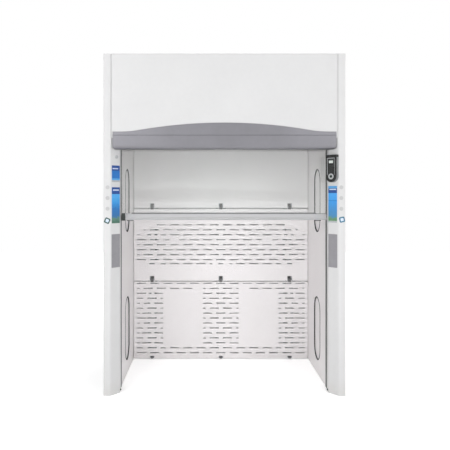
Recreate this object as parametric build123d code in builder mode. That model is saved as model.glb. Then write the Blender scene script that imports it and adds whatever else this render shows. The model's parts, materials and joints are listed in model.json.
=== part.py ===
from build123d import *
import os
from math import atan, cos, sin, sqrt

os.makedirs("parts", exist_ok=True)

# A floor standing filtered fume hood. Millimetres, +Z up, front towards -Y.
# The origin is on the floor under the middle of the hood. A depth is measured back from the
# flat front faces of the two posts.

# Cabinet
hood_width = 1829.0
hood_depth = 956.0
hood_height = 2588.0
panel_sheet = 1.5
roof_sheet = 2.0
fold_radius = 3.0
side_front_flange = 20.0
side_rear_flange = 25.0
roof_flange = 20.0
seam_gap = 0.5
panel_edge_gap = 2.0

# Front posts
post_sheet = 2.0
post_flat = 52.0
post_chamfer = 62.0
post_lip = 108.0
post_flange = 18.0
post_return = 40.0
soft_fold_radius = 20.0
plug_inset = 31.0
plug_heights = (1415.0, 1496.0, 1577.0)
plug_hole = 25.0
plug_cap = 30.0
plug_cap_height = 2.0
plug_stem_height = 8.0
plug_clearance = 0.2

# Header and canopy
header_gap = 8.0
header_overlap = 21.0
header_bottom_flange = 12.0
header_top_flange = 25.0
canopy_wall = 4.0
canopy_half = 846.0
canopy_bottom = 1866.0
canopy_roll = 24.0
canopy_reach = 90.0
canopy_corner = 20.0
canopy_clearance = 1.5
valance_height = 105.0
groove_bevel = 1.5
arch_end_rise = 27.0
arch_crown_rise = 95.0
arch_foot = 797.0
arch_turn = 640.0

# Sash tracks and the two planes that the sashes run in
track_width = 22.0
track_depth = 62.0
track_setback = 4.0
track_bottom = 4.0
track_pulley_gap = 39.0
front_plane_depth = 122.0
rear_plane_depth = 156.0
groove_depth = 12.0
groove_width = 9.0

# Sashes
glass_thickness = 5.0
glass_side_clearance = 2.0
sash_height = 960.0
front_sash_lowest = 8.0
front_sash_up = 190.0
front_sash_down = 1316.0
rear_sash_lowest = 928.0
rear_sash_up = 170.0
rear_sash_down = 400.0
rail_thickness = 16.0
rail_end_gap = 3.5
top_rail_height = 30.0
handle_height = 47.0
glazing_depth = 12.0
lip_low = 6.0
lip_high = 16.0
lip_root_high = 24.0
lip_root_run = 2.0
front_lip_reach = 16.0
rear_lip_reach = 10.0
end_block_length = 75.0
end_block_height = 44.0
end_block_proud = 4.0
bumper_length = 50.0
bumper_height = 6.0
bumper_inset = 41.0

# Latch on the left end of the front sash
latch_width = 35.0
latch_height = 58.0
latch_below_rail = 3.0
latch_base = 9.0
latch_depth = 17.0
latch_ear = 3.0
latch_pin = 5.0
latch_pin_drop = 9.0
latch_barrel = 14.0
latch_clearance = 0.3

# Chamber liners, ceiling and access covers
liner_gap = 8.5
liner_sheet = 5.0
chamber_height = 2180.0
ceiling_sheet = 6.0
ceiling_front_gap = 2.0
access_width = 218.0
access_height = 530.0
access_centres = (385.0, 1472.0)
access_depth = 485.0
cover_recess = 6.0
gasket_web = 6.0
gasket_overlap = 4.0
gasket_lip = 1.5

# Light over the chamber
light_length = 1100.0
light_width = 110.0
light_depth = 290.0
light_height = 60.0
light_wall = 1.5
lens_overlap = 4.0
lens_thickness = 3.0
lamp_board_width = 24.0
lamp_board_thickness = 2.0

# Rear baffles, seen from the front, and what holds them
plenum_depth = 98.0
baffle_sheet = 6.0
baffle_side_gap = 4.0
baffle_floor_gap = 4.0
baffle_seam = 8.0
lower_baffle_top = 717.0
middle_baffle_top = 1391.0
baffle_post_gap = 20.0
baffle_post_sheet = 2.0
baffle_post_width = 60.0
baffle_post_flange = 20.0
clip_columns = (-637.0, 0.0, 637.0)
clip_hole_width = 42.0
clip_hole_height = 40.0
clip_hole_margin = 3.0
clip_sheet = 3.0
clip_width = 26.0
clip_foot = 15.0
clip_rise = 24.0
clip_overlap = 5.0
notch_height = 24.0

# Slots in the baffles
slot_length = 85.0
slot_height = 9.0
slot_pitch = 122.4
row_pitch = 45.95
slot_limit = 777.0
shortest_slot = 12.0
middle_first_row = 1242.5
middle_last_row = 883.5
lower_first_row = 701.0
lower_rows = 15
block_half = 165.0
strip_inner = 532.0
short_slot = 34.0
short_slot_middles = (603.0, 663.0)
clip_slot = 46.0
first_row_limit = 597.0
second_row_limit = 712.0
last_row_limit = 716.0

# Filter bay, filters and fan deck
bay_depth = 176.0
bay_flange = 16.0
filter_lift = 84.0
filter_rail_leg = 25.0
filter_rail_lip = 32.0
filter_rail_sheet = 2.0
filter_width = 580.0
filter_end_gap = 10.25
filter_thickness = 130.0
filter_rim = 20.0
filter_recess = 12.0
deck_drop = 146.0
deck_sheet = 2.0
fan_spacing = 600.0
outlet_diameter = 240.0
shroud_wall = 5.0
shroud_height = 70.0
motor_diameter = 70.0
motor_height = 40.0
spider_arms = 3
spider_width = 12.0
spider_thickness = 4.0
shaft_diameter = 10.0
running_clearance = 0.05
grille_size = 280.0
grille_sheet = 3.0
grille_slots = 9
grille_slot_height = 12.0
grille_slot_pitch = 23.0

# Fan rotors
hub_diameter = 84.0
hub_height = 36.0
hub_lift = 6.0
blade_count = 7
blade_tip_gap = 6.0
blade_thickness = 3.0
blade_chord = 48.0
blade_angle = 34.0

# Counterbalance
rope_diameter = 3.0
rope_wrap_sides = 6
pulley_radius = 38.0
pulley_rim = 3.0
pulley_width = 12.0
pulley_drop = 66.0
pulley_groove_clearance = 0.5
pulley_floor_share = 0.7
sash_rope_inset = 5.0
pin_diameter = 10.0
pin_head_diameter = 14.0
pin_head_height = 3.0
pin_shoulder_diameter = 16.0
axial_clearance = 0.5
bracket_sheet = 4.0
bracket_drop = 40.0
bracket_side_clearance = 24.0
bracket_flange = 20.0
weight_width = 76.0
weight_thickness = 28.0
weight_corner = 3.0
front_weight_lowest = 25.0
rear_weight_lowest = 530.0
glass_density = 2.5e-6
aluminium_density = 2.7e-6
rubber_density = 1.2e-6
iron_density = 7.2e-6

# Monitor on the right post, button on the left post, plates on both
monitor_width = 88.0
monitor_top = 1824.0
monitor_height = 208.0
monitor_body_depth = 28.0
monitor_fascia_depth = 8.0
monitor_cap_height = 18.0
display_width = 35.0
display_height = 20.0
display_centre = 1770.0
display_recess = 2.0
display_thickness = 1.5
ring_radius = 22.0
ring_hole_radius = 12.0
ring_clearance = 0.3
button_travel = 2.0
button_proud = 1.0
switch_height = 1809.0
switch_offset = 8.0
switch_diameter = 26.0
switch_cap = 7.0
switch_stem = 12.0
switch_stem_length = 12.0
switch_travel = 3.0
plate_width = 76.0
plate_height = 254.0
plate_sheet = 2.0
plate_corner = 4.0
plate_centre = 1094.0
plate_offset = 5.0

# Places worked out from the sizes above
half_width = hood_width / 2
monitor_depth = monitor_body_depth + monitor_fascia_depth
monitor_reach = monitor_depth / sqrt(2)
front_y = (monitor_reach - hood_depth) / 2
rear_y = front_y + hood_depth
roof_underside = hood_height - roof_sheet
side_inner = half_width - panel_sheet
chamfer_outer = half_width - post_flat
post_inner = chamfer_outer - post_chamfer
track_inner = post_inner + track_setback
track_end = post_lip + track_depth
liner_inner = post_inner + liner_gap
rail_half = post_inner - rail_end_gap
glass_half = track_inner + groove_depth - glass_side_clearance
rear_panel_depth = hood_depth - 2 * panel_sheet
baffle_depth = rear_panel_depth - plenum_depth
baffle_back = baffle_depth + baffle_sheet
baffle_half = liner_inner - baffle_side_gap
baffle_post_depth = baffle_back + baffle_post_gap
ceiling_top = chamber_height + ceiling_sheet
groove_height = canopy_bottom + valance_height
header_bottom = groove_height - header_overlap
arch_end_height = groove_height + arch_end_rise
arch_crown_height = groove_height + arch_crown_rise
pulley_centre_height = roof_underside - pulley_drop
track_top = pulley_centre_height - pulley_radius - pulley_rim - track_pulley_gap
deck_height = roof_underside - deck_drop
filter_height = ceiling_top + filter_lift
bay_back = bay_depth + panel_sheet
bay_middle = (bay_back + rear_panel_depth) / 2
bay_length = rear_panel_depth - bay_back
filter_length = bay_length - 2 * filter_end_gap
front_sash_bottom = front_sash_lowest + front_sash_down
rear_sash_bottom = rear_sash_lowest + rear_sash_down
front_weight_bottom = front_weight_lowest + front_sash_up
rear_weight_bottom = rear_weight_lowest + rear_sash_up
sash_rope_x = rail_half - sash_rope_inset
pulley_x = sash_rope_x + pulley_radius
weight_rope_x = pulley_x + pulley_radius
monitor_bottom = monitor_top - monitor_height
ring_height = monitor_bottom + monitor_width / 2


def behind(depth):
    """Y of the plane at this depth behind the posts' flat faces."""
    return front_y + depth


def facing_front(depth):
    """Upright plane at a depth, with its normal towards the front."""
    return Plane(origin=(0, behind(depth), 0), x_dir=(1, 0, 0), z_dir=(0, -1, 0))


def on_chamfer(side, height=0.0, lift=0.0):
    """Plane on the middle of a post's 45 degree face, with its normal towards the user."""
    middle = chamfer_outer - post_chamfer / 2
    shift = lift / sqrt(2)
    origin = (side * (middle - shift), behind(post_chamfer / 2) - shift, height)
    return Plane(origin=origin, x_dir=(1, -side, 0), z_dir=(-side, -1, 0))


def folded(points, radii, sheet, side):
    """Section of a folded sheet from its outer line, which goes round each fold."""
    with BuildSketch() as section:
        with BuildLine():
            FilletPolyline(*points, radius=radii)
            offset(amount=sheet, side=side)
        make_face()
    return section.sketch


def between_posts(clearance):
    """Plan outline of what fits between the posts, down their 45 degree faces."""
    edge = chamfer_outer - clearance * sqrt(2)
    inner = post_inner - clearance
    ahead = post_flange
    turn = edge - inner
    with BuildSketch() as plan:
        Polygon(
            (edge + ahead, behind(-ahead)),
            (inner, behind(turn)),
            (inner, behind(post_lip)),
            (-inner, behind(post_lip)),
            (-inner, behind(turn)),
            (-edge - ahead, behind(-ahead)),
            align=None,
        )
    return plan.sketch


def write(piece, name):
    """Name a finished piece and write its file."""
    piece.part.label = name
    export_step(piece.part, f"parts/{name}.step")


# Front posts: flat face, 45 degree face, inner face and a lip at the back for the track
post_section = folded(
    [
        (half_width, behind(post_return)),
        (half_width, front_y),
        (chamfer_outer, front_y),
        (post_inner, behind(post_chamfer)),
        (post_inner, behind(post_lip)),
        (post_inner + post_flange, behind(post_lip)),
    ],
    [fold_radius, soft_fold_radius, fold_radius, fold_radius],
    post_sheet,
    Side.RIGHT,
)

with BuildPart() as right_column:
    with BuildSketch():
        add(post_section)
    extrude(amount=roof_underside)
    with BuildSketch(facing_front(0)):
        with Locations(*[(half_width - plug_inset, height) for height in plug_heights]):
            Circle(plug_hole / 2)
    extrude(amount=-2 * post_sheet, mode=Mode.SUBTRACT)
write(right_column, "right_column")

with BuildPart() as left_column:
    mirror(right_column.part, about=Plane.YZ)
    with BuildSketch(on_chamfer(-1, switch_height)):
        with Locations((switch_offset, 0)):
            Circle(switch_stem / 2 + 2 * running_clearance)
    extrude(amount=-2 * post_sheet, mode=Mode.SUBTRACT)
write(left_column, "left_column")

with BuildPart() as column_plugs:
    with BuildSketch(facing_front(0)):
        with Locations(*[(half_width - plug_inset, height) for height in plug_heights]):
            Circle(plug_hole / 2 - plug_clearance)
    extrude(amount=-plug_stem_height)
    with BuildSketch(facing_front(0)):
        with Locations(*[(half_width - plug_inset, height) for height in plug_heights]):
            Circle(plug_cap / 2)
    extrude(amount=plug_cap_height)
    cap_rims = column_plugs.edges().filter_by(GeomType.CIRCLE).group_by(Axis.Y)[0]
    chamfer(cap_rims, plug_cap_height / 4)
    mirror(about=Plane.YZ)
write(column_plugs, "column_plugs")

# Side, rear and roof panels
side_front = post_return + seam_gap
side_section = folded(
    [
        (half_width - side_front_flange, behind(side_front)),
        (half_width, behind(side_front)),
        (half_width, rear_y),
        (half_width - side_rear_flange, rear_y),
    ],
    [fold_radius, fold_radius],
    panel_sheet,
    Side.LEFT,
)

with BuildPart() as right_side_panel:
    with BuildSketch():
        add(side_section)
    extrude(amount=roof_underside)
write(right_side_panel, "right_side_panel")

with BuildPart() as left_side_panel:
    mirror(right_side_panel.part, about=Plane.YZ)
write(left_side_panel, "left_side_panel")

rear_outer = behind(rear_panel_depth + panel_sheet)
rear_section = folded(
    [
        (rear_outer, 0),
        (rear_outer, roof_underside),
        (rear_outer - roof_flange, roof_underside),
    ],
    [fold_radius],
    panel_sheet,
    Side.LEFT,
)

with BuildPart() as rear_panel:
    with BuildSketch(Plane.YZ):
        add(rear_section)
    extrude(amount=side_inner - panel_edge_gap, both=True)
write(rear_panel, "rear_panel")

fan_places = [(x, behind(bay_middle)) for x in (-fan_spacing, 0, fan_spacing)]

with BuildPart() as roof_panel:
    with BuildSketch(Plane.XY.offset(roof_underside)):
        with Locations((0, (front_y + rear_y) / 2)):
            Rectangle(hood_width, hood_depth)
        with Locations(*fan_places):
            Circle(outlet_diameter / 2, mode=Mode.SUBTRACT)
    extrude(amount=roof_sheet)
write(roof_panel, "roof_panel")

with BuildPart() as outlet_grilles:
    with BuildSketch(Plane.XY.offset(roof_underside - grille_sheet)):
        with Locations(*fan_places):
            Rectangle(grille_size, grille_size)
            with GridLocations(0, grille_slot_pitch, 1, grille_slots):
                Rectangle(outlet_diameter, grille_slot_height, mode=Mode.SUBTRACT)
    extrude(amount=grille_sheet)
write(outlet_grilles, "outlet_grilles")

# Header panel between the posts, hung under the roof
header_half = chamfer_outer - header_gap
header_section = folded(
    [
        (behind(header_bottom_flange), header_bottom),
        (front_y, header_bottom),
        (front_y, roof_underside),
        (behind(header_top_flange), roof_underside),
    ],
    [fold_radius, fold_radius],
    panel_sheet,
    Side.RIGHT,
)

with BuildPart() as header_panel:
    with BuildSketch(Plane.YZ):
        add(header_section)
    extrude(amount=header_half, both=True)
    with BuildSketch():
        add(between_posts(canopy_clearance))
    extrude(amount=hood_height, mode=Mode.INTERSECT)
write(header_panel, "header_panel")

# Canopy: an arched brow over a rolled valance, with a bevelled seam between them. The brow is a
# long arc that turns into a short one at each end, which brings it level.
arch_angle = 2 * atan((arch_crown_rise - arch_end_rise) / arch_foot)
crown_radius = arch_turn / sin(arch_angle)
arch_turn_height = arch_crown_height - crown_radius * (1 - cos(arch_angle))

with BuildPart() as canopy_arch:
    with BuildSketch(facing_front(0)):
        with BuildLine():
            base = groove_height + seam_gap / 2
            crown = ThreePointArc(
                (-arch_turn, arch_turn_height),
                (0, arch_crown_height),
                (arch_turn, arch_turn_height),
            )
            right_foot = TangentArc(crown @ 1, (arch_foot, arch_end_height), tangent=crown % 1)
            left_foot = TangentArc(crown @ 0, (-arch_foot, arch_end_height), tangent=(crown % 0) * -1)
            Polyline(
                right_foot @ 1,
                (canopy_half, arch_end_height),
                (canopy_half, base),
                (-canopy_half, base),
                (-canopy_half, arch_end_height),
                left_foot @ 1,
            )
        make_face()
    extrude(amount=canopy_wall)
    front_edges = canopy_arch.edges().group_by(Axis.Y)[0]
    chamfer(front_edges.sort_by(Axis.Z)[0], groove_bevel)
    front_edges = canopy_arch.edges().group_by(Axis.Y)[0]
    brow_edges = front_edges.filter_by(lambda edge: edge.center().Z > arch_end_height - seam_gap)
    fillet(brow_edges, canopy_wall / 2)
write(canopy_arch, "canopy_arch")

valance_top = groove_height - seam_gap / 2
valance_section = folded(
    [
        (behind(canopy_reach), canopy_bottom),
        (behind(-canopy_wall), canopy_bottom),
        (behind(-canopy_wall), valance_top),
    ],
    [canopy_roll],
    canopy_wall,
    Side.RIGHT,
)

with BuildPart() as canopy_valance:
    with BuildSketch(Plane.YZ):
        add(valance_section)
    extrude(amount=canopy_half, both=True)
    with BuildSketch():
        add(between_posts(canopy_clearance))
    extrude(amount=hood_height, mode=Mode.INTERSECT)
    with BuildSketch(facing_front(canopy_reach)) as valance_front:
        with Locations((0, (canopy_bottom + valance_top) / 2)):
            Rectangle(2 * canopy_half, valance_top - canopy_bottom)
        fillet(valance_front.vertices().group_by(Axis.Y)[0], canopy_corner)
    extrude(amount=canopy_reach + canopy_wall, mode=Mode.INTERSECT)
    top_edges = canopy_valance.edges().filter_by(Axis.X).group_by(Axis.Z)[-1]
    chamfer(top_edges.sort_by(Axis.Y)[0], groove_bevel)
write(canopy_valance, "canopy_valance")

# Sash tracks, against the lips of the posts
track_middle = track_inner + track_width / 2
groove_middle = track_inner + groove_depth / 2

with BuildPart() as right_sash_track:
    with BuildSketch(Plane.XY.offset(track_bottom)):
        with Locations((track_middle, behind(post_lip + track_depth / 2))):
            Rectangle(track_width, track_depth)
        with Locations(*[(groove_middle, behind(d)) for d in (front_plane_depth, rear_plane_depth)]):
            Rectangle(groove_depth, groove_width, mode=Mode.SUBTRACT)
    extrude(amount=track_top - track_bottom)
write(right_sash_track, "right_sash_track")

with BuildPart() as left_sash_track:
    mirror(right_sash_track.part, about=Plane.YZ)
write(left_sash_track, "left_sash_track")

# Chamber liners with their oval access covers in gaskets
liner_length = rear_panel_depth - track_end
access_places = [(behind(access_depth), z) for z in access_centres]


def oval(growth):
    """The access opening, made larger all round, standing on end."""
    with BuildSketch() as outline:
        SlotOverall(access_height + 2 * growth, access_width + 2 * growth, rotation=90)
    return outline.sketch


with BuildPart() as right_liner:
    with BuildSketch(Plane.YZ.offset(liner_inner)):
        with Locations((behind(track_end + liner_length / 2), chamber_height / 2)):
            Rectangle(liner_length, chamber_height)
        with Locations(*access_places):
            add(oval(0), mode=Mode.SUBTRACT)
    extrude(amount=liner_sheet)
write(right_liner, "right_liner")

with BuildPart() as left_liner:
    mirror(right_liner.part, about=Plane.YZ)
write(left_liner, "left_liner")

with BuildPart() as access_covers:
    with BuildSketch(Plane.YZ.offset(liner_inner + cover_recess)):
        with Locations(*access_places):
            add(oval(-gasket_web))
    extrude(amount=liner_sheet)
    mirror(about=Plane.YZ)
write(access_covers, "access_covers")

with BuildPart() as access_gaskets:
    with BuildSketch(Plane.YZ.offset(liner_inner)):
        with Locations(*access_places):
            add(oval(0))
            add(oval(-gasket_web), mode=Mode.SUBTRACT)
    extrude(amount=cover_recess + liner_sheet)
    with BuildSketch(Plane.YZ.offset(liner_inner)):
        with Locations(*access_places):
            add(oval(gasket_overlap))
            add(oval(-gasket_web), mode=Mode.SUBTRACT)
    extrude(amount=-gasket_lip)
    with BuildSketch(Plane.YZ.offset(liner_inner + cover_recess + liner_sheet)):
        with Locations(*access_places):
            add(oval(0))
            add(oval(-gasket_web - gasket_overlap), mode=Mode.SUBTRACT)
    extrude(amount=gasket_lip)
    mirror(about=Plane.YZ)
write(access_gaskets, "access_gaskets")

# Ceiling of the chamber, open at the back into the plenum, with the light above it
ceiling_front = track_end + ceiling_front_gap

with BuildPart() as ceiling_panel:
    with BuildSketch(Plane.XY.offset(chamber_height)):
        with Locations((0, behind((ceiling_front + baffle_back) / 2))):
            Rectangle(2 * (liner_inner + liner_sheet), baffle_back - ceiling_front)
        with Locations((0, behind(light_depth))):
            Rectangle(light_length, light_width, mode=Mode.SUBTRACT)
    extrude(amount=ceiling_sheet)
write(ceiling_panel, "ceiling_panel")

lens_length = light_length + 2 * lens_overlap
lens_width = light_width + 2 * lens_overlap
housing_length = lens_length + 2 * (panel_edge_gap + light_wall)
housing_width = lens_width + 2 * (panel_edge_gap + light_wall)

with BuildPart() as light_lens:
    with BuildSketch(Plane.XY.offset(ceiling_top)):
        with Locations((0, behind(light_depth))):
            Rectangle(lens_length, lens_width)
    extrude(amount=lens_thickness)
write(light_lens, "light_lens")

with BuildPart() as ceiling_light:
    with BuildSketch(Plane.XY.offset(ceiling_top)):
        with Locations((0, behind(light_depth))):
            Rectangle(housing_length, housing_width)
    extrude(amount=light_height)
    offset(amount=-light_wall, openings=ceiling_light.faces().sort_by(Axis.Z)[0])
    with BuildSketch(Plane.XY.offset(ceiling_top + light_height - light_wall)):
        with Locations((0, behind(light_depth))):
            Rectangle(light_length, lamp_board_width)
    extrude(amount=-lamp_board_thickness)
write(ceiling_light, "ceiling_light")

# Baffles: each is a list of slots, given as middle, length and height of the middle


def clip_slots(spans, limit, blanks):
    """Cut the spans back to the limit and clear of the blank stretches."""
    kept = [(max(low, -limit), min(high, limit)) for low, high in spans]
    for blank_low, blank_high in blanks:
        left = [(low, min(high, blank_low)) for low, high in kept]
        right = [(max(low, blank_high), high) for low, high in kept]
        kept = left + right
    return [(low, high) for low, high in kept if high - low >= shortest_slot]


def slot_row(shifted, limit, blanks=(), extras=()):
    """Spans of one row of slots, on the pitch or half a pitch to the side of it."""
    shift = slot_pitch / 2 if shifted else 0
    count = int(limit // slot_pitch) + 2
    middles = [shift + i * slot_pitch for i in range(-count, count)]
    spans = [(x - slot_length / 2, x + slot_length / 2) for x in middles]
    both_sides = list(blanks) + [(-high, -low) for low, high in blanks]
    added = [(x - length / 2, x + length / 2) for x, length in extras]
    return clip_slots(spans, limit, both_sides) + added


def side_strip(slots):
    """Spans of the slots near both side walls, from their middles and lengths on the right."""
    right = [(x - length / 2, x + length / 2) for x, length in slots]
    return right + [(-high, -low) for low, high in right]


def cut_slots(rows):
    """Sketch of all slots of a baffle, from pairs of height and spans."""
    places = {}
    for height, spans in rows:
        for low, high in spans:
            places.setdefault(round(high - low, 1), []).append(((low + high) / 2, height))
    with BuildSketch() as slots:
        for length, middles in places.items():
            with Locations(*middles):
                Rectangle(length, slot_height)
    return slots.sketch


# Slots of the middle baffle, from the top row down. Some stretches stay blank round the clips.
clip_blank = 80.0
wide_blank = (558.0, 707.0)
narrow_blank = (382.0, 477.5)
short_pair = [(side * x, short_slot) for side in (-1, 1) for x in short_slot_middles]
middle_spans = [
    slot_row(True, first_row_limit),
    slot_row(False, second_row_limit),
    slot_row(True, slot_limit, [wide_blank], short_pair),
    slot_row(False, slot_limit, [narrow_blank]),
    slot_row(True, slot_limit),
    slot_row(False, slot_limit),
    slot_row(True, slot_limit),
    slot_row(False, slot_limit),
]
middle_rows = [(middle_first_row - i * row_pitch, spans) for i, spans in enumerate(middle_spans)]
last_blanks = [(x - clip_blank, x + clip_blank) for x in clip_columns if x >= 0]
last_extras = [(x, clip_slot) for x in clip_columns]
middle_rows.append((middle_last_row, slot_row(True, last_row_limit, last_blanks, last_extras)))

# Slots of the lower baffle: two full rows at each end, and between them a block in the middle
# with a strip near each side wall. The strips of a few rows differ.
odd_strip = [(577.0, 85.0), (686.5, 85.0), (764.0, 26.0)]
even_strip = [(547.0, 26.0), (638.5, 85.0), (749.0, 60.0)]
other_strips = {
    3: [(577.0, 85.0), (656.5, 26.0), (735.0, 85.0)],
    5: [(577.0, 85.0), (684.5, 60.0), (764.0, 26.0)],
    8: [(547.0, 26.0), (638.5, 85.0), (735.0, 85.0)],
    9: [(577.0, 85.0), (684.5, 60.0), (764.0, 26.0)],
}
lower_spans = [
    slot_row(False, slot_limit),
    slot_row(True, slot_limit, [(block_half, block_half + slot_length)]),
]
for row in range(3, lower_rows - 1):
    shifted = row % 2 == 0
    strip = other_strips.get(row, even_strip if shifted else odd_strip)
    lower_spans.append(slot_row(shifted, block_half) + side_strip(strip))
lower_spans.append(slot_row(True, strip_inner) + side_strip(even_strip))
lower_spans.append(slot_row(False, slot_limit))
lower_rows_placed = [(lower_first_row - i * row_pitch, spans) for i, spans in enumerate(lower_spans)]


def baffle_blank(bottom, top, hole_bottom, hole_height):
    """Face of a baffle with the holes for its clips."""
    with BuildSketch() as face:
        with Locations((0, (bottom + top) / 2)):
            Rectangle(2 * baffle_half, top - bottom)
        with Locations(*[(x, hole_bottom + hole_height / 2) for x in clip_columns]):
            Rectangle(clip_hole_width, hole_height, mode=Mode.SUBTRACT)
    return face.sketch


middle_baffle_bottom = lower_baffle_top + baffle_seam
upper_baffle_bottom = middle_baffle_top + baffle_seam

with BuildPart() as upper_baffle:
    with BuildSketch(facing_front(baffle_depth)):
        hole_bottom = upper_baffle_bottom + clip_hole_margin
        add(baffle_blank(upper_baffle_bottom, chamber_height, hole_bottom, clip_hole_height))
    extrude(amount=-baffle_sheet)
write(upper_baffle, "upper_baffle")

with BuildPart() as middle_baffle:
    with BuildSketch(facing_front(baffle_depth)):
        hole_bottom = middle_baffle_bottom + clip_hole_margin
        add(baffle_blank(middle_baffle_bottom, middle_baffle_top, hole_bottom, clip_hole_height))
        add(cut_slots(middle_rows), mode=Mode.SUBTRACT)
    extrude(amount=-baffle_sheet)
write(middle_baffle, "middle_baffle")

with BuildPart() as lower_baffle:
    with BuildSketch(facing_front(baffle_depth)):
        add(baffle_blank(baffle_floor_gap, lower_baffle_top, baffle_floor_gap, notch_height))
        add(cut_slots(lower_rows_placed), mode=Mode.SUBTRACT)
    extrude(amount=-baffle_sheet)
write(lower_baffle, "lower_baffle")

# Hat channels behind the baffles, on the rear panel, and the clips that they carry
hat_half = baffle_post_width / 2 - baffle_post_sheet
hat_inside = baffle_post_depth + baffle_post_sheet
hat_section = folded(
    [
        (-hat_half - baffle_post_flange, behind(rear_panel_depth)),
        (-hat_half, behind(rear_panel_depth)),
        (-hat_half, behind(hat_inside)),
        (hat_half, behind(hat_inside)),
        (hat_half, behind(rear_panel_depth)),
        (hat_half + baffle_post_flange, behind(rear_panel_depth)),
    ],
    [fold_radius, fold_radius / 2, fold_radius / 2, fold_radius],
    baffle_post_sheet,
    Side.RIGHT,
)

with BuildPart() as baffle_posts:
    with BuildSketch():
        with Locations(*[(x, 0) for x in clip_columns]):
            add(hat_section)
    extrude(amount=chamber_height)
write(baffle_posts, "baffle_posts")

clip_heights = [
    baffle_floor_gap + clip_rise - clip_overlap,
    middle_baffle_bottom + clip_rise,
    upper_baffle_bottom + clip_rise,
]
clip_tail = clip_rise + baffle_seam + clip_overlap


def clip_section(height, tail):
    """Side view of a clip: a foot on the channel, a stem through the hole, a tab in front."""
    foot_y = behind(baffle_post_depth - clip_sheet)
    tab_y = behind(baffle_depth - clip_sheet)
    points = [(foot_y, height + clip_foot), (foot_y, height), (tab_y, height), (tab_y, height - tail)]
    return folded(points, [fold_radius / 2, fold_radius + seam_gap], clip_sheet, Side.LEFT)


with BuildPart() as baffle_clips:
    for column in clip_columns:
        for height in clip_heights:
            tail = min(clip_tail, height - baffle_floor_gap)
            with BuildSketch(Plane.YZ.offset(column)):
                add(clip_section(height, tail))
            extrude(amount=clip_width / 2, both=True)
write(baffle_clips, "baffle_clips")

# Panel that closes the filter bay behind the sashes
bay_section = folded(
    [
        (behind(bay_depth + bay_flange), ceiling_top),
        (behind(bay_depth), ceiling_top),
        (behind(bay_depth), roof_underside),
        (behind(bay_depth + bay_flange), roof_underside),
    ],
    [fold_radius, fold_radius],
    panel_sheet,
    Side.RIGHT,
)

with BuildPart() as bay_front_panel:
    with BuildSketch(Plane.YZ):
        add(bay_section)
    extrude(amount=side_inner, both=True)
write(bay_front_panel, "bay_front_panel")

# Filters on two rails, under the fan deck
rail_bottom = filter_height - filter_rail_sheet
front_rail_section = folded(
    [
        (behind(bay_back), rail_bottom + filter_rail_lip),
        (behind(bay_back), rail_bottom),
        (behind(bay_back + filter_rail_leg), rail_bottom),
    ],
    [fold_radius],
    filter_rail_sheet,
    Side.LEFT,
)

with BuildPart() as filter_rails:
    with BuildSketch(Plane.YZ):
        add(front_rail_section)
        mirror(front_rail_section, about=Plane.YZ.offset(behind(bay_middle)))
    extrude(amount=side_inner - side_rear_flange, both=True)
write(filter_rails, "filter_rails")

with BuildPart() as filter_elements:
    with BuildSketch(Plane.XY.offset(filter_height)):
        with Locations(*[(x, behind(bay_middle)) for x, y in fan_places]):
            Rectangle(filter_width, filter_length)
    extrude(amount=filter_thickness)
    with BuildSketch(Plane.XY.offset(filter_height), Plane.XY.offset(filter_height + filter_thickness)):
        with Locations(*[(x, behind(bay_middle)) for x, y in fan_places]):
            Rectangle(filter_width - 2 * filter_rim, filter_length - 2 * filter_rim)
    extrude(amount=filter_recess, both=True, mode=Mode.SUBTRACT)
write(filter_elements, "filter_elements")

# Fan deck: a shroud ring and a motor on a spider under each outlet
shroud_outer = outlet_diameter / 2 + shroud_wall
spider_bottom = deck_height - motor_height / 2 - spider_thickness / 2

with BuildPart() as fan_deck:
    with BuildSketch(Plane.XY.offset(deck_height)):
        with Locations((0, behind(bay_middle))):
            Rectangle(2 * side_inner, bay_length)
        with Locations(*fan_places):
            Circle(outlet_diameter / 2, mode=Mode.SUBTRACT)
    extrude(amount=deck_sheet)
    with BuildSketch(Plane.XY.offset(deck_height - motor_height)):
        with Locations(*fan_places):
            Circle(shroud_outer)
            Circle(outlet_diameter / 2, mode=Mode.SUBTRACT)
    extrude(amount=motor_height + shroud_height)
    with BuildSketch(Plane.XY.offset(spider_bottom)):
        with Locations(*fan_places):
            with PolarLocations((outlet_diameter / 2) / 2, spider_arms, start_angle=90):
                Rectangle(outlet_diameter / 2 + shroud_wall / 2, spider_width)
    extrude(amount=spider_thickness)
    with BuildSketch(Plane.XY.offset(deck_height - motor_height)):
        with Locations(*fan_places):
            Circle(motor_diameter / 2)
    extrude(amount=motor_height)
    with BuildSketch(Plane.XY.offset(deck_height)):
        with Locations(*fan_places):
            Circle(shaft_diameter / 2)
    extrude(amount=hub_lift + hub_height)
write(fan_deck, "fan_deck")

# Fan rotors: a bored hub with flat pitched blades
hub_bottom = deck_height + hub_lift
blade_tip = outlet_diameter / 2 - blade_tip_gap
blade_root = hub_diameter / 2 - blade_thickness

with BuildPart() as rotor:
    with BuildSketch(Plane.XY.offset(hub_bottom)):
        Circle(hub_diameter / 2)
    extrude(amount=hub_height)
    fillet(rotor.edges().group_by(Axis.Z)[-1], fold_radius)
    across = Plane(origin=(blade_root, 0, hub_bottom + hub_height / 2), x_dir=(0, 1, 0), z_dir=(1, 0, 0))
    with BuildPart(mode=Mode.PRIVATE) as blade:
        with BuildSketch(across):
            Rectangle(blade_chord, blade_thickness, rotation=blade_angle)
        extrude(amount=blade_tip - blade_root)
        with BuildSketch(Plane.XY.offset(hub_bottom)):
            Circle(blade_tip)
        extrude(amount=hub_height, mode=Mode.INTERSECT)
    with PolarLocations(0, blade_count):
        add(blade.part)
    with BuildSketch(Plane.XY.offset(hub_bottom)):
        Circle(shaft_diameter / 2 + running_clearance)
    extrude(amount=hub_height, mode=Mode.SUBTRACT)

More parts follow.
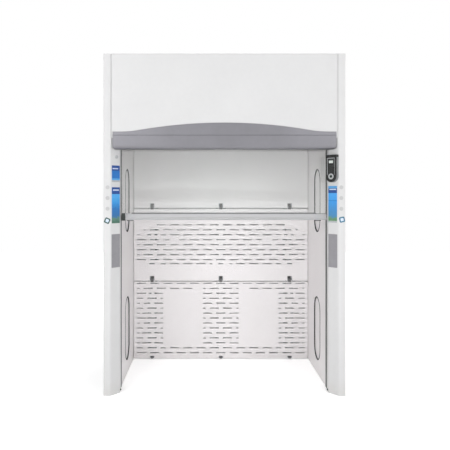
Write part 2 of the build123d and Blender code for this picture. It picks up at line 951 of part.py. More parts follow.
for (x, y), side in zip(fan_places, ("left", "middle", "right")):
    with BuildPart() as fan:
        with Locations((x, y)):
            add(rotor.part)
    write(fan, f"{side}_fan")

# Sashes: a pane between a bottom rail, the handle, and a top rail


def glass_pane(plane_depth, bottom):
    """Pane that fills the glazing grooves of both rails and reaches into the tracks."""
    low = bottom + handle_height - glazing_depth
    high = bottom + sash_height - top_rail_height + glazing_depth
    with BuildPart() as pane:
        with BuildSketch(facing_front(plane_depth - glass_thickness / 2)):
            with Locations((0, (low + high) / 2)):
                Rectangle(2 * glass_half, high - low)
        extrude(amount=-glass_thickness)
    return pane


def handle_section(plane_depth, bottom, lip_reach):
    """Side view of a bottom rail, with its finger lip and glazing groove."""
    front = behind(plane_depth - rail_thickness / 2)
    back = front + rail_thickness
    nose = (lip_high - lip_low) / 2
    with BuildSketch() as section:
        with BuildLine():
            nose_arc = ThreePointArc(
                (front - lip_reach + nose, bottom + lip_low),
                (front - lip_reach, bottom + lip_low + nose),
                (front - lip_reach + nose, bottom + lip_high),
            )
            Polyline(
                nose_arc @ 1,
                (front - lip_root_run, bottom + lip_high),
                (front, bottom + lip_root_high),
                (front, bottom + handle_height),
                (back, bottom + handle_height),
                (back, bottom),
                (front, bottom),
                (front, bottom + lip_low),
                nose_arc @ 0,
            )
        make_face()
        with Locations((behind(plane_depth), bottom + handle_height - glazing_depth / 2)):
            Rectangle(glass_thickness, glazing_depth, mode=Mode.SUBTRACT)
    return section.sketch


def top_rail_bar(plane_depth, bottom):
    """Rail along the top of a pane."""
    top = bottom + sash_height
    with BuildPart() as rail:
        with BuildSketch(Plane.YZ):
            with Locations((behind(plane_depth), top - top_rail_height / 2)):
                Rectangle(rail_thickness, top_rail_height)
            with Locations((behind(plane_depth), top - top_rail_height + glazing_depth / 2)):
                Rectangle(glass_thickness, glazing_depth, mode=Mode.SUBTRACT)
        extrude(amount=rail_half, both=True)
    return rail


front_sash_glass = glass_pane(front_plane_depth, front_sash_bottom)
write(front_sash_glass, "front_sash_glass")
rear_sash_glass = glass_pane(rear_plane_depth, rear_sash_bottom)
write(rear_sash_glass, "rear_sash_glass")
front_sash_top_rail = top_rail_bar(front_plane_depth, front_sash_bottom)
write(front_sash_top_rail, "front_sash_top_rail")
rear_sash_top_rail = top_rail_bar(rear_plane_depth, rear_sash_bottom)
write(rear_sash_top_rail, "rear_sash_top_rail")

with BuildPart() as rear_sash_handle:
    with BuildSketch(Plane.YZ):
        add(handle_section(rear_plane_depth, rear_sash_bottom, rear_lip_reach))
    extrude(amount=rail_half, both=True)
write(rear_sash_handle, "rear_sash_handle")

rail_front = front_plane_depth - rail_thickness / 2
latch_middle = -(rail_half - latch_width / 2)
latch_front = rail_front - latch_base - latch_depth
latch_bottom = front_sash_bottom - latch_below_rail
latch_top = latch_bottom + latch_height
latch_pin_height = latch_top - latch_pin_drop
latch_pin_depth = rail_front - latch_base - latch_barrel / 2 - latch_clearance

with BuildPart() as front_sash_handle:
    with BuildSketch(Plane.YZ):
        add(handle_section(front_plane_depth, front_sash_bottom, front_lip_reach))
    extrude(amount=rail_half, both=True)
    with BuildSketch(facing_front(rail_front)):
        block_x = rail_half - end_block_length / 2
        block_z = front_sash_bottom + end_block_height / 2
        with Locations((-block_x, block_z), (block_x, block_z)):
            Rectangle(end_block_length, end_block_height)
    extrude(amount=end_block_proud)
    with BuildSketch(facing_front(rail_front)):
        with Locations((latch_middle, latch_bottom + latch_height / 2)):
            Rectangle(latch_width, latch_height)
    extrude(amount=latch_base)
    with BuildSketch(facing_front(rail_front - latch_base)):
        with Locations((latch_middle, latch_bottom + latch_height / 2)):
            Rectangle(latch_width, latch_height)
    extrude(amount=front_lip_reach, mode=Mode.SUBTRACT)
    ear_height = 2 * latch_pin_drop
    for side in (-1, 1):
        ear_x = latch_middle + side * (latch_width / 2 - latch_ear / 2)
        with BuildSketch(facing_front(rail_front - latch_base)):
            with Locations((ear_x, latch_top - ear_height / 2)):
                Rectangle(latch_ear, ear_height)
        extrude(amount=latch_depth - latch_ear)
    with BuildSketch(Plane.YZ.offset(latch_middle)):
        with Locations((behind(latch_pin_depth), latch_pin_height)):
            Circle(latch_pin / 2)
    extrude(amount=latch_width / 2 - latch_ear, both=True)
write(front_sash_handle, "front_sash_handle")

# Latch lever, hung on the pin between the ears
lever_half = latch_width / 2 - latch_ear - latch_clearance
lever_back = rail_front - latch_base - latch_clearance

with BuildPart() as sash_latch:
    with BuildSketch(Plane.YZ.offset(latch_middle)):
        with BuildLine():
            barrel_top = latch_pin_height + latch_barrel / 2
            back_y = behind(lever_back)
            front_y_of_lever = behind(latch_front)
            crown = ThreePointArc(
                (back_y - latch_barrel, latch_pin_height),
                (back_y - latch_barrel / 2, barrel_top),
                (back_y, latch_pin_height),
            )
            Polyline(
                crown @ 1,
                (back_y, latch_bottom + 2 * latch_ear),
                (back_y - latch_ear, latch_bottom),
                (front_y_of_lever, latch_bottom),
                (front_y_of_lever, latch_bottom + 2 * latch_ear),
                crown @ 0,
            )
        make_face()
        with Locations((behind(latch_pin_depth), latch_pin_height)):
            Circle(latch_pin / 2 + running_clearance, mode=Mode.SUBTRACT)
    extrude(amount=lever_half, both=True)
write(sash_latch, "sash_latch")

with BuildPart() as front_sash_bumpers:
    with BuildSketch(Plane.XY.offset(front_sash_bottom - bumper_height)):
        pad_x = rail_half - bumper_inset - bumper_length / 2
        with Locations((-pad_x, behind(front_plane_depth)), (pad_x, behind(front_plane_depth))):
            Rectangle(bumper_length, rail_thickness)
    extrude(amount=bumper_height)
write(front_sash_bumpers, "front_sash_bumpers")

# Counterweights, sized to balance each sash


def sash_mass(glass, *rails):
    """Mass of a pane and its rails in kilograms."""
    return glass.part.volume * glass_density + sum(rail.part.volume for rail in rails) * aluminium_density


def weight_height(mass):
    """Height of each of the two iron weights that balance this mass."""
    return mass / 2 / (iron_density * weight_width * weight_thickness)


front_mass = sash_mass(front_sash_glass, front_sash_handle, front_sash_top_rail)
front_mass += front_sash_bumpers.part.volume * rubber_density
rear_mass = sash_mass(rear_sash_glass, rear_sash_handle, rear_sash_top_rail)
front_weight_height = weight_height(front_mass)
rear_weight_height = weight_height(rear_mass)


def counterweight(side, plane_depth, bottom, height):
    """Iron bar that hangs beside the track."""
    with BuildPart() as bar:
        with BuildSketch(Plane.XY.offset(bottom)) as section:
            with Locations((side * weight_rope_x, behind(plane_depth))):
                Rectangle(weight_width, weight_thickness)
            fillet(section.vertices(), weight_corner)
        extrude(amount=height)
    return bar


def pulley(side, plane_depth):
    """Grooved wheel, bored for its pin."""
    groove_floor = pulley_radius - rope_diameter / 2 - pulley_groove_clearance
    rim = pulley_radius + pulley_rim
    half = pulley_width / 2
    mouth = rope_diameter
    with BuildPart() as wheel:
        with BuildSketch(Plane.XY):
            with BuildLine():
                Polyline(
                    (pin_diameter / 2 + running_clearance, -half),
                    (rim, -half),
                    (rim, -mouth),
                    (groove_floor, -mouth * pulley_floor_share),
                    (groove_floor, mouth * pulley_floor_share),
                    (rim, mouth),
                    (rim, half),
                    (pin_diameter / 2 + running_clearance, half),
                    close=True,
                )
            make_face()
        revolve(axis=Axis.Y)
    with BuildPart() as placed:
        with Locations((side * pulley_x, behind(plane_depth), pulley_centre_height)):
            add(wheel.part)
    return placed


sash_sides = (
    ("front", front_plane_depth, front_weight_bottom, front_weight_height),
    ("rear", rear_plane_depth, rear_weight_bottom, rear_weight_height),
)
for sash, plane_depth, bottom, height in sash_sides:
    for side, side_name in ((-1, "left"), (1, "right")):
        write(counterweight(side, plane_depth, bottom, height), f"{sash}_{side_name}_weight")
        write(pulley(side, plane_depth), f"{sash}_{side_name}_pulley")

# Brackets on the side panels: a plate between the wheels, and a pin to each side of it
bracket_middle = (front_plane_depth + rear_plane_depth) / 2
bracket_inner = pulley_x - bracket_side_clearance

with BuildPart() as pulley_brackets:
    bracket_bottom = pulley_centre_height - bracket_drop
    with BuildSketch(Plane.XY.offset(bracket_bottom)):
        with Locations(((bracket_inner + side_inner) / 2, behind(bracket_middle))):
            Rectangle(side_inner - bracket_inner, bracket_sheet)
        with Locations((side_inner - panel_sheet, behind(bracket_middle + bracket_flange / 2))):
            Rectangle(2 * panel_sheet, bracket_flange)
    extrude(amount=2 * bracket_drop)
    for plane_depth, way in ((front_plane_depth, 1), (rear_plane_depth, -1)):
        wheel_face = pulley_width / 2 + axial_clearance
        reach = (rear_plane_depth - front_plane_depth) / 2
        stages = (
            (pin_shoulder_diameter, reach - wheel_face),
            (pin_diameter, reach + wheel_face),
            (pin_head_diameter, reach + wheel_face + pin_head_height),
        )
        start = 0.0
        for diameter, end in stages:
            with BuildSketch(facing_front(bracket_middle - way * start)):
                with Locations((pulley_x, pulley_centre_height)):
                    Circle(diameter / 2)
            extrude(amount=way * (end - start))
            start = end
    mirror(about=Plane.YZ)
write(pulley_brackets, "pulley_brackets")

# Wire ropes: straight runs to the sashes and to the weights, and half turns over the wheels


def rope_runs(x, plane_depth, low):
    """The two upright runs of rope, left and right, up to the middle of the wheels."""
    with BuildPart() as runs:
        with BuildSketch(Plane.XY.offset(low)):
            with Locations((-x, behind(plane_depth)), (x, behind(plane_depth))):
                Circle(rope_diameter / 2)
        extrude(amount=pulley_centre_height - low)
    return runs


write(rope_runs(sash_rope_x, front_plane_depth, front_sash_bottom + sash_height), "front_sash_cables")
write(rope_runs(sash_rope_x, rear_plane_depth, rear_sash_bottom + sash_height), "rear_sash_cables")
front_weight_top = front_weight_bottom + front_weight_height
rear_weight_top = rear_weight_bottom + rear_weight_height
write(rope_runs(weight_rope_x, front_plane_depth, front_weight_top), "front_weight_cables")
write(rope_runs(weight_rope_x, rear_plane_depth, rear_weight_top), "rear_weight_cables")

with BuildPart() as cable_wraps:
    for plane_depth in (front_plane_depth, rear_plane_depth):
        middle_y = behind(plane_depth)
        with BuildSketch(Plane.XY.offset(pulley_centre_height)):
            with Locations((sash_rope_x, middle_y)):
                RegularPolygon(rope_diameter / 2, rope_wrap_sides)
        revolve(axis=Axis((pulley_x, middle_y, pulley_centre_height), (0, 1, 0)), revolution_arc=180)
    mirror(about=Plane.YZ)
write(cable_wraps, "cable_wraps")

# Monitor on the right post: body, fascia with a cap over the body, display and round button


def monitor_outline(top):
    """Front view with a round bottom, up to this height."""
    radius = monitor_width / 2
    with BuildSketch() as outline:
        with Locations((0, (ring_height + top) / 2)):
            Rectangle(monitor_width, top - ring_height)
        with Locations((0, ring_height)):
            Circle(radius)
    return outline.sketch


body_top = monitor_top - monitor_cap_height

with BuildPart() as monitor_body:
    with BuildSketch(on_chamfer(1)):
        add(monitor_outline(body_top))
    extrude(amount=monitor_body_depth)
write(monitor_body, "monitor_body")

with BuildPart() as monitor_fascia:
    with BuildSketch(on_chamfer(1, 0, monitor_body_depth)):
        add(monitor_outline(monitor_top))
    extrude(amount=monitor_fascia_depth)
    with BuildSketch(on_chamfer(1)):
        with Locations((0, monitor_top - monitor_cap_height / 2)):
            Rectangle(monitor_width, monitor_cap_height)
    extrude(amount=monitor_body_depth)
    with BuildSketch(on_chamfer(1, 0, monitor_depth)):
        with Locations((0, display_centre)):
            Rectangle(display_width, display_height)
    extrude(amount=-display_recess, mode=Mode.SUBTRACT)
    with BuildSketch(on_chamfer(1, 0, monitor_depth)):
        with Locations((0, ring_height)):
            Circle(ring_radius + ring_clearance)
    extrude(amount=-monitor_fascia_depth, mode=Mode.SUBTRACT)
write(monitor_fascia, "monitor_fascia")

with BuildPart() as monitor_display:
    with BuildSketch(on_chamfer(1, 0, monitor_depth - display_recess)):
        with Locations((0, display_centre)):
            Rectangle(display_width, display_height)
    extrude(amount=display_thickness)
write(monitor_display, "monitor_display")

with BuildPart() as monitor_button:
    with BuildSketch(on_chamfer(1, 0, monitor_body_depth + button_travel + ring_clearance)):
        with Locations((0, ring_height)):
            Circle(ring_radius)
    extrude(amount=monitor_fascia_depth - button_travel - ring_clearance + button_proud)
    with BuildSketch(on_chamfer(1, 0, monitor_depth + button_proud)):
        with Locations((0, ring_height)):
            Circle(ring_hole_radius)
    extrude(amount=-button_proud - ring_clearance, mode=Mode.SUBTRACT)
write(monitor_button, "monitor_button")

# Round push button on the left post, guided by its stem
with BuildPart() as light_switch:
    with BuildSketch(on_chamfer(-1, switch_height, switch_travel + ring_clearance)):
        with Locations((switch_offset, 0)):
            Circle(switch_diameter / 2)
    extrude(amount=switch_cap)
    with BuildSketch(on_chamfer(-1, switch_height, switch_travel + ring_clearance)):
        with Locations((switch_offset, 0)):
            Circle(switch_stem / 2)
    extrude(amount=-switch_stem_length)
write(light_switch, "light_switch")

# Plain service plate on the 45 degree face of each post
with BuildPart() as service_plates:
    with BuildSketch(on_chamfer(1, plate_centre)):
        with Locations((-plate_offset, 0)):
            RectangleRounded(plate_width, plate_height, plate_corner)
    extrude(amount=plate_sheet)
    mirror(about=Plane.YZ)
write(service_plates, "service_plates")
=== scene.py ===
import bmesh
import bpy
import json
import math
from mathutils import Matrix, Vector


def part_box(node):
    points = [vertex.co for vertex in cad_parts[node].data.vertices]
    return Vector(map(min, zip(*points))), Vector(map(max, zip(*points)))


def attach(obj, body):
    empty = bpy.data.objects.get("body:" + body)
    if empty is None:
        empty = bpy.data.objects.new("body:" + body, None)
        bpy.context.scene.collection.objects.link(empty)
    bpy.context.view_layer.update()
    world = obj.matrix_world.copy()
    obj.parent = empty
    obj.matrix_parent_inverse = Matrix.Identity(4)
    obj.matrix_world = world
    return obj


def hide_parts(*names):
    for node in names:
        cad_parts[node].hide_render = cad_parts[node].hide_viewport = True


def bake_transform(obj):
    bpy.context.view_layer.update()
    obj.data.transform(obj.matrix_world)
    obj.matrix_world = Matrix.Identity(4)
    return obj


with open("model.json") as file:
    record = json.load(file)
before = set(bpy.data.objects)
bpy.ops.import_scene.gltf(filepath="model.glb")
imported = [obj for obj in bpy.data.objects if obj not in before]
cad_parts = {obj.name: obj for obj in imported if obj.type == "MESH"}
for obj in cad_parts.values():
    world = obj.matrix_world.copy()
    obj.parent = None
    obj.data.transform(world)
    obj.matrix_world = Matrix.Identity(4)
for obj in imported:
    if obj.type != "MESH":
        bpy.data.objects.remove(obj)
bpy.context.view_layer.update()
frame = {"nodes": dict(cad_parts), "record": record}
nodes = frame["nodes"]
scene = bpy.context.scene
scene.view_settings.view_transform = "Standard"

# Places on the hood, in metres, read from the frame
postLow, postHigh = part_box("right_column")
frontY = postLow.y  # flat front face of both posts
halfWidth = postHigh.x

post = {
    "flat": 0.052,  # width of the flat front face
    "chamfer": 0.062,  # run of the 45 degree face, across and back
    "skin": 0.0002,  # how far a print stands off the paint
}


def chamferPlace(side, height, lift=0.0):
    # Local X across the 45 degree face, Y up, Z out of it
    middle = halfWidth - post["flat"] - post["chamfer"] / 2
    out = Vector((-side, -1, 0)).normalized()
    across = Vector((1, -side, 0)).normalized()
    spot = Vector((side * middle, frontY + post["chamfer"] / 2, height)) + out * lift
    return Matrix.Translation(spot) @ Matrix((across, (0, 0, 1), out)).transposed().to_4x4()


def flatPlace(x, height, lift=0.0):
    # Local X to the right, Y up, Z towards the front
    spot = Vector((x, frontY - lift, height))
    return Matrix.Translation(spot) @ Matrix.Rotation(math.pi / 2, 4, "X")


print("frame loaded")

# Camera, floor and lights

camera = {
    "spot": Vector((-0.147, frontY - 3.777, 1.519)),
    "lens": 39.98,
    "sensor": 36,
    "shiftX": 20 / 450,
    "shiftY": -30 / 450,
}


def setCamera():
    data = bpy.data.cameras.new("camera")
    data.lens = camera["lens"]
    data.sensor_width = camera["sensor"]
    data.shift_x = camera["shiftX"]
    data.shift_y = camera["shiftY"]
    eye = bpy.data.objects.new("camera", data)
    eye.location = camera["spot"]
    eye.rotation_euler = (math.pi / 2, 0, 0)
    scene.collection.objects.link(eye)
    scene.camera = eye


setCamera()

studio = {
    "world": 0.4,  # light from all round
    "floorSize": 9,
    "floorDrop": 0.0004,  # keeps the floor clear of the hood's foot
    "floorTone": 0.93,
    "floorGlow": (0.42, 0.72),  # only for the eye: near the hood, and far off
    "floorFade": (1.6, 4.5),  # where the glow starts and ends to change
    "lamps": [
        # name, place, target, size, watts, spread in degrees, seen in gloss
        ("key", (-2.6, -5.2, 3.5), (-0.2, -0.2, 1.6), 2.0, 56, 180, True),
        ("fill", (2.8, -5.0, 3.5), (0.2, -0.2, 1.6), 2.0, 36, 180, True),
        ("leftSide", (-4.0, -4.2, 1.5), (0.6, 0.0, 1.2), 1.6, 40, 180, False),
        ("rightSide", (4.0, -4.2, 1.5), (-0.6, 0.0, 1.2), 1.6, 28, 180, False),
        ("chamber", (0.0, -4.9, 0.3), (0.0, 0.4, 1.1), 0.6, 6.5, 60, False),
        ("top", (0.0, -1.8, 5.2), (0.0, 0.0, 2.4), 3.0, 30, 180, False),
        ("back", (1.6, 5.0, 3.4), (0.0, 0.4, 1.3), 2.6, 90, 180, False),
    ],
}


def nodeTree(owner):
    owner.use_nodes = True
    owner.node_tree.nodes.clear()
    return owner.node_tree.nodes, owner.node_tree.links


def whiteForEyes(shaderNodes, links):
    # 1 for camera, glossy and transmission rays, 0 for the rest
    path = shaderNodes.new("ShaderNodeLightPath")
    first = shaderNodes.new("ShaderNodeMath")
    first.operation = "MAXIMUM"
    links.new(path.outputs["Is Camera Ray"], first.inputs[0])
    links.new(path.outputs["Is Glossy Ray"], first.inputs[1])
    second = shaderNodes.new("ShaderNodeMath")
    second.operation = "MAXIMUM"
    links.new(first.outputs[0], second.inputs[0])
    links.new(path.outputs["Is Transmission Ray"], second.inputs[1])
    return second.outputs[0]


def setWorld():
    world = bpy.data.worlds.new("studio")
    scene.world = world
    shaderNodes, links = nodeTree(world)
    out = shaderNodes.new("ShaderNodeOutputWorld")
    soft = shaderNodes.new("ShaderNodeBackground")
    soft.inputs["Color"].default_value = (1, 1, 1, 1)
    soft.inputs["Strength"].default_value = studio["world"]
    seen = shaderNodes.new("ShaderNodeBackground")
    seen.inputs["Color"].default_value = (1, 1, 1, 1)
    seen.inputs["Strength"].default_value = 1.0
    mix = shaderNodes.new("ShaderNodeMixShader")
    links.new(whiteForEyes(shaderNodes, links), mix.inputs[0])
    links.new(soft.outputs[0], mix.inputs[1])
    links.new(seen.outputs[0], mix.inputs[2])
    links.new(mix.outputs[0], out.inputs["Surface"])


def setFloor():
    floorMesh = bmesh.new()
    bmesh.ops.create_grid(floorMesh, x_segments=1, y_segments=1, size=studio["floorSize"])
    bmesh.ops.translate(floorMesh, verts=floorMesh.verts, vec=(0, 0, -studio["floorDrop"]))
    mesh = bpy.data.meshes.new("floor")
    floorMesh.to_mesh(mesh)
    floorMesh.free()
    floor = bpy.data.objects.new("floor", mesh)
    scene.collection.objects.link(floor)
    paint = bpy.data.materials.new("floorPaint")
    shaderNodes, links = nodeTree(paint)
    out = shaderNodes.new("ShaderNodeOutputMaterial")
    matt = shaderNodes.new("ShaderNodeBsdfDiffuse")
    matt.inputs["Color"].default_value = (studio["floorTone"],) * 3 + (1,)
    glow = shaderNodes.new("ShaderNodeEmission")
    reach = shaderNodes.new("ShaderNodeVectorMath")
    reach.operation = "LENGTH"
    links.new(shaderNodes.new("ShaderNodeTexCoord").outputs["Object"], reach.inputs[0])
    fade = shaderNodes.new("ShaderNodeMapRange")
    fade.inputs["From Min"].default_value, fade.inputs["From Max"].default_value = studio["floorFade"]
    fade.inputs["To Min"].default_value, fade.inputs["To Max"].default_value = studio["floorGlow"]
    links.new(reach.outputs["Value"], fade.inputs["Value"])
    strength = shaderNodes.new("ShaderNodeMath")
    strength.operation = "MULTIPLY"
    links.new(fade.outputs["Result"], strength.inputs[1])
    links.new(whiteForEyes(shaderNodes, links), strength.inputs[0])
    links.new(strength.outputs[0], glow.inputs["Strength"])
    both = shaderNodes.new("ShaderNodeAddShader")
    links.new(matt.outputs[0], both.inputs[0])
    links.new(glow.outputs[0], both.inputs[1])
    links.new(both.outputs[0], out.inputs["Surface"])
    mesh.materials.append(paint)


def setLamps():
    for name, place, target, size, watts, spread, gloss in studio["lamps"]:
        lamp = bpy.data.lights.new(name, "AREA")
        lamp.shape = "SQUARE"
        lamp.size = size
        lamp.energy = watts
        lamp.spread = math.radians(spread)
        lampObject = bpy.data.objects.new(name, lamp)
        lampObject.location = place
        aim = Vector(target) - Vector(place)
        lampObject.rotation_euler = aim.to_track_quat("-Z", "Y").to_euler()
        lampObject.visible_camera = False
        lampObject.visible_glossy = gloss
        lampObject.visible_transmission = False
        scene.collection.objects.link(lampObject)


setWorld()
setFloor()
setLamps()
print("camera and studio set")

# Shader groups that several finishes share


def newGroup(name, inputs, outputs):
    group = bpy.data.node_groups.new(name, "ShaderNodeTree")
    for label, kind, value in inputs:
        socket = group.interface.new_socket(label, in_out="INPUT", socket_type=kind)
        if value is not None:
            socket.default_value = value
    for label, kind in outputs:
        group.interface.new_socket(label, in_out="OUTPUT", socket_type=kind)
    start = group.nodes.new("NodeGroupInput")
    end = group.nodes.new("NodeGroupOutput")
    return group, start, end


def noise(group, vector, scale, detail, rough=0.5):
    cloud = group.nodes.new("ShaderNodeTexNoise")
    cloud.inputs["Detail"].default_value = detail
    cloud.inputs["Roughness"].default_value = rough
    group.links.new(vector, cloud.inputs["Vector"])
    if isinstance(scale, (int, float)):
        cloud.inputs["Scale"].default_value = scale
    else:
        group.links.new(scale, cloud.inputs["Scale"])
    return cloud.outputs["Fac"]


def smoothRemap(group, value, low, high, newLow, newHigh):
    node = group.nodes.new("ShaderNodeMapRange")
    node.interpolation_type = "SMOOTHSTEP"
    group.links.new(value, node.inputs["Value"])
    group.links.new(high, node.inputs["From Max"])
    for socket, amount in (("From Min", low), ("To Min", newLow), ("To Max", newHigh)):
        node.inputs[socket].default_value = amount
    return node.outputs["Result"]


def combine(group, operation, first, second):
    node = group.nodes.new("ShaderNodeMath")
    node.operation = operation
    for socket, value in zip(node.inputs, (first, second)):
        if isinstance(value, (int, float)):
            socket.default_value = value
        else:
            group.links.new(value, socket)
    return node.outputs[0]


coatMottle = {"fineScale": 38.0, "cloudShare": 0.75, "fineShare": 0.25}


def makeOrangePeel():
    # Fine sprayed texture of powder coat, with a slow change of tone
    group, start, end = newGroup(
        "orangePeel",
        [
            ("Vector", "NodeSocketVector", None),
            ("Peel", "NodeSocketFloat", 420.0),
            ("Cloud", "NodeSocketFloat", 2.2),
        ],
        [("Height", "NodeSocketFloat"), ("Tone", "NodeSocketFloat")],
    )
    spot = start.outputs["Vector"]
    peel = noise(group, spot, scale=start.outputs["Peel"], detail=2.0)
    cloud = noise(group, spot, scale=start.outputs["Cloud"], detail=4.0, rough=0.6)
    fine = noise(group, spot, scale=coatMottle["fineScale"], detail=3.0)
    cloudPart = combine(group, "MULTIPLY", cloud, coatMottle["cloudShare"])
    finePart = combine(group, "MULTIPLY", fine, coatMottle["fineShare"])
    group.links.new(peel, end.inputs["Height"])
    group.links.new(combine(group, "ADD", cloudPart, finePart), end.inputs["Tone"])
    return group


grime = {"full": 0.06, "rise": 0.22, "breakScale": 9.0, "breakHeight": 0.16}


def makeFloorScuff():
    # Mask of grime that rises from the floor and breaks up with height
    group, start, end = newGroup(
        "floorScuff",
        [("Vector", "NodeSocketVector", None), ("Rise", "NodeSocketFloat", grime["rise"])],
        [("Mask", "NodeSocketFloat")],
    )
    spot = start.outputs["Vector"]
    split = group.nodes.new("ShaderNodeSeparateXYZ")
    group.links.new(spot, split.inputs[0])
    cloud = noise(group, spot, scale=grime["breakScale"], detail=5.0, rough=0.65)
    broken = combine(group, "MULTIPLY", cloud, grime["breakHeight"])
    lifted = combine(group, "ADD", split.outputs["Z"], broken)
    reach = combine(group, "ADD", start.outputs["Rise"], grime["full"])
    mask = smoothRemap(group, lifted, low=grime["full"], high=reach, newLow=1.0, newHigh=0.0)
    group.links.new(mask, end.inputs["Mask"])
    return group


def makeDrawnLines():
    # Fine lines along one direction, as on drawn metal or moulded flow marks
    group, start, end = newGroup(
        "drawnLines",
        [("Vector", "NodeSocketVector", None), ("Along", "NodeSocketVector", (1.0, 60.0, 60.0))],
        [("Lines", "NodeSocketFloat"), ("Patches", "NodeSocketFloat")],
    )
    stretch = group.nodes.new("ShaderNodeVectorMath")
    stretch.operation = "MULTIPLY"
    group.links.new(start.outputs["Vector"], stretch.inputs[0])
    group.links.new(start.outputs["Along"], stretch.inputs[1])
    lines = noise(group, stretch.outputs[0], scale=14.0, detail=4.0, rough=0.6)
    patches = noise(group, start.outputs["Vector"], scale=18.0, detail=3.0)
    group.links.new(lines, end.inputs["Lines"])
    group.links.new(patches, end.inputs["Patches"])
    return group


def makeSpangle():
    # Crystal patches of galvanised sheet
    group, start, end = newGroup(
        "spangle",
        [("Vector", "NodeSocketVector", None), ("Size", "NodeSocketFloat", 70.0)],
        [("Crystal", "NodeSocketFloat"), ("Edge", "NodeSocketFloat")],
    )
    cells = group.nodes.new("ShaderNodeTexVoronoi")
    group.links.new(start.outputs["Vector"], cells.inputs["Vector"])
    group.links.new(start.outputs["Size"], cells.inputs["Scale"])
    grey = group.nodes.new("ShaderNodeRGBToBW")
    group.links.new(cells.outputs["Color"], grey.inputs[0])
    group.links.new(grey.outputs[0], end.inputs["Crystal"])
    group.links.new(cells.outputs["Distance"], end.inputs["Edge"])
    return group


orangePeel = makeOrangePeel()
floorScuff = makeFloorScuff()
drawnLines = makeDrawnLines()
spangle = makeSpangle()
print("shader groups built")

# Finishes. Colours are linear.


class Finish:
    # One material: a Principled shader with helpers to wire masks into it

    def __init__(self, name, sockets):
        self.material = bpy.data.materials.new(name)
        self.nodes, self.links = nodeTree(self.material)
        self.out = self.nodes.new("ShaderNodeOutputMaterial")
        self.shader = self.nodes.new("ShaderNodeBsdfPrincipled")
        self.links.new(self.shader.outputs[0], self.out.inputs["Surface"])
        self.coordinates = self.nodes.new("ShaderNodeTexCoord").outputs["Object"]
        for label, value in sockets.items():
            self.shader.inputs[label].default_value = value

    def placed(self, node, inputs):
        self.links.new(self.coordinates, node.inputs["Vector"])
        for label, value in inputs.items():
            node.inputs[label].default_value = value
        return node.outputs

    def group(self, tree, inputs):
        node = self.nodes.new("ShaderNodeGroup")
        node.node_tree = tree
        return self.placed(node, inputs)

    def noise(self, scale, detail, rough=0.5):
        node = self.nodes.new("ShaderNodeTexNoise")
        return self.placed(node, {"Scale": scale, "Detail": detail, "Roughness": rough})["Fac"]

    def cells(self, scale):
        return self.placed(self.nodes.new("ShaderNodeTexVoronoi"), {"Scale": scale})["Distance"]

    def bands(self, direction, scale, profile="SIN"):
        node = self.nodes.new("ShaderNodeTexWave")
        node.wave_type = "BANDS"
        node.bands_direction = direction
        node.wave_profile = profile
        return self.placed(node, {"Scale": scale})["Fac"]

    def colours(self, mask, first, second, low=0.0, high=1.0):
        ramp = self.nodes.new("ShaderNodeValToRGB")
        ramp.color_ramp.elements[0].position = low
        ramp.color_ramp.elements[0].color = (*first, 1)
        ramp.color_ramp.elements[1].position = high
        ramp.color_ramp.elements[1].color = (*second, 1)
        self.links.new(mask, ramp.inputs[0])
        return ramp.outputs["Color"]

    def blend(self, mask, first, second):
        mix = self.nodes.new("ShaderNodeMix")
        mix.data_type = "RGBA"
        self.links.new(mask, mix.inputs["Factor"])
        self.links.new(first, mix.inputs[6])
        mix.inputs[7].default_value = (*second, 1)
        return mix.outputs[2]

    def spread(self, mask, low, high, fromLow=0.3, fromHigh=0.7):
        node = self.nodes.new("ShaderNodeMapRange")
        self.links.new(mask, node.inputs["Value"])
        labels = ("From Min", "From Max", "To Min", "To Max")
        for label, value in zip(labels, (fromLow, fromHigh, low, high)):
            node.inputs[label].default_value = value
        return node.outputs["Result"]

    def roughen(self, mask, rough, fromLow=0.3, fromHigh=0.7):
        self.set("Roughness", self.spread(mask, rough[0], rough[1], fromLow, fromHigh))

    def bump(self, height, depth):
        node = self.nodes.new("ShaderNodeBump")
        node.inputs["Distance"].default_value = depth
        node.inputs["Strength"].default_value = 1.0
        self.links.new(height, node.inputs["Height"])
        self.links.new(node.outputs[0], self.shader.inputs["Normal"])

    def set(self, label, output):
        self.links.new(output, self.shader.inputs[label])


def paintedSheet(name, tone, shade, dirt, rough=(0.34, 0.44), peel=420.0, depth=0.00012):
    finish = Finish(name, {"Specular IOR Level": 0.45, "Coat Weight": 0.08, "Coat Roughness": 0.25})
    skin = finish.group(orangePeel, {"Peel": peel})
    scuff = finish.group(floorScuff, {"Rise": 0.16})
    clean = finish.colours(skin["Tone"], shade, tone, low=0.3, high=0.62)
    worn = finish.spread(scuff["Mask"], low=0.0, high=0.35, fromLow=0.0, fromHigh=1.0)
    finish.set("Base Color", finish.blend(worn, clean, dirt))
    finish.roughen(skin["Tone"], rough)
    finish.bump(skin["Height"], depth)
    return finish.material


def mouldedPlastic(name, tone, shade, rough=(0.38, 0.5), grain=900.0, depth=0.00006, coat=0.0):
    finish = Finish(name, {"Specular IOR Level": 0.5, "Coat Weight": coat, "Coat Roughness": 0.12})
    skin = finish.group(orangePeel, {"Peel": grain, "Cloud": 14.0})
    finish.set("Base Color", finish.colours(skin["Tone"], shade, tone, low=0.32, high=0.64))
    finish.roughen(skin["Tone"], rough)
    finish.bump(skin["Height"], depth)
    return finish.material


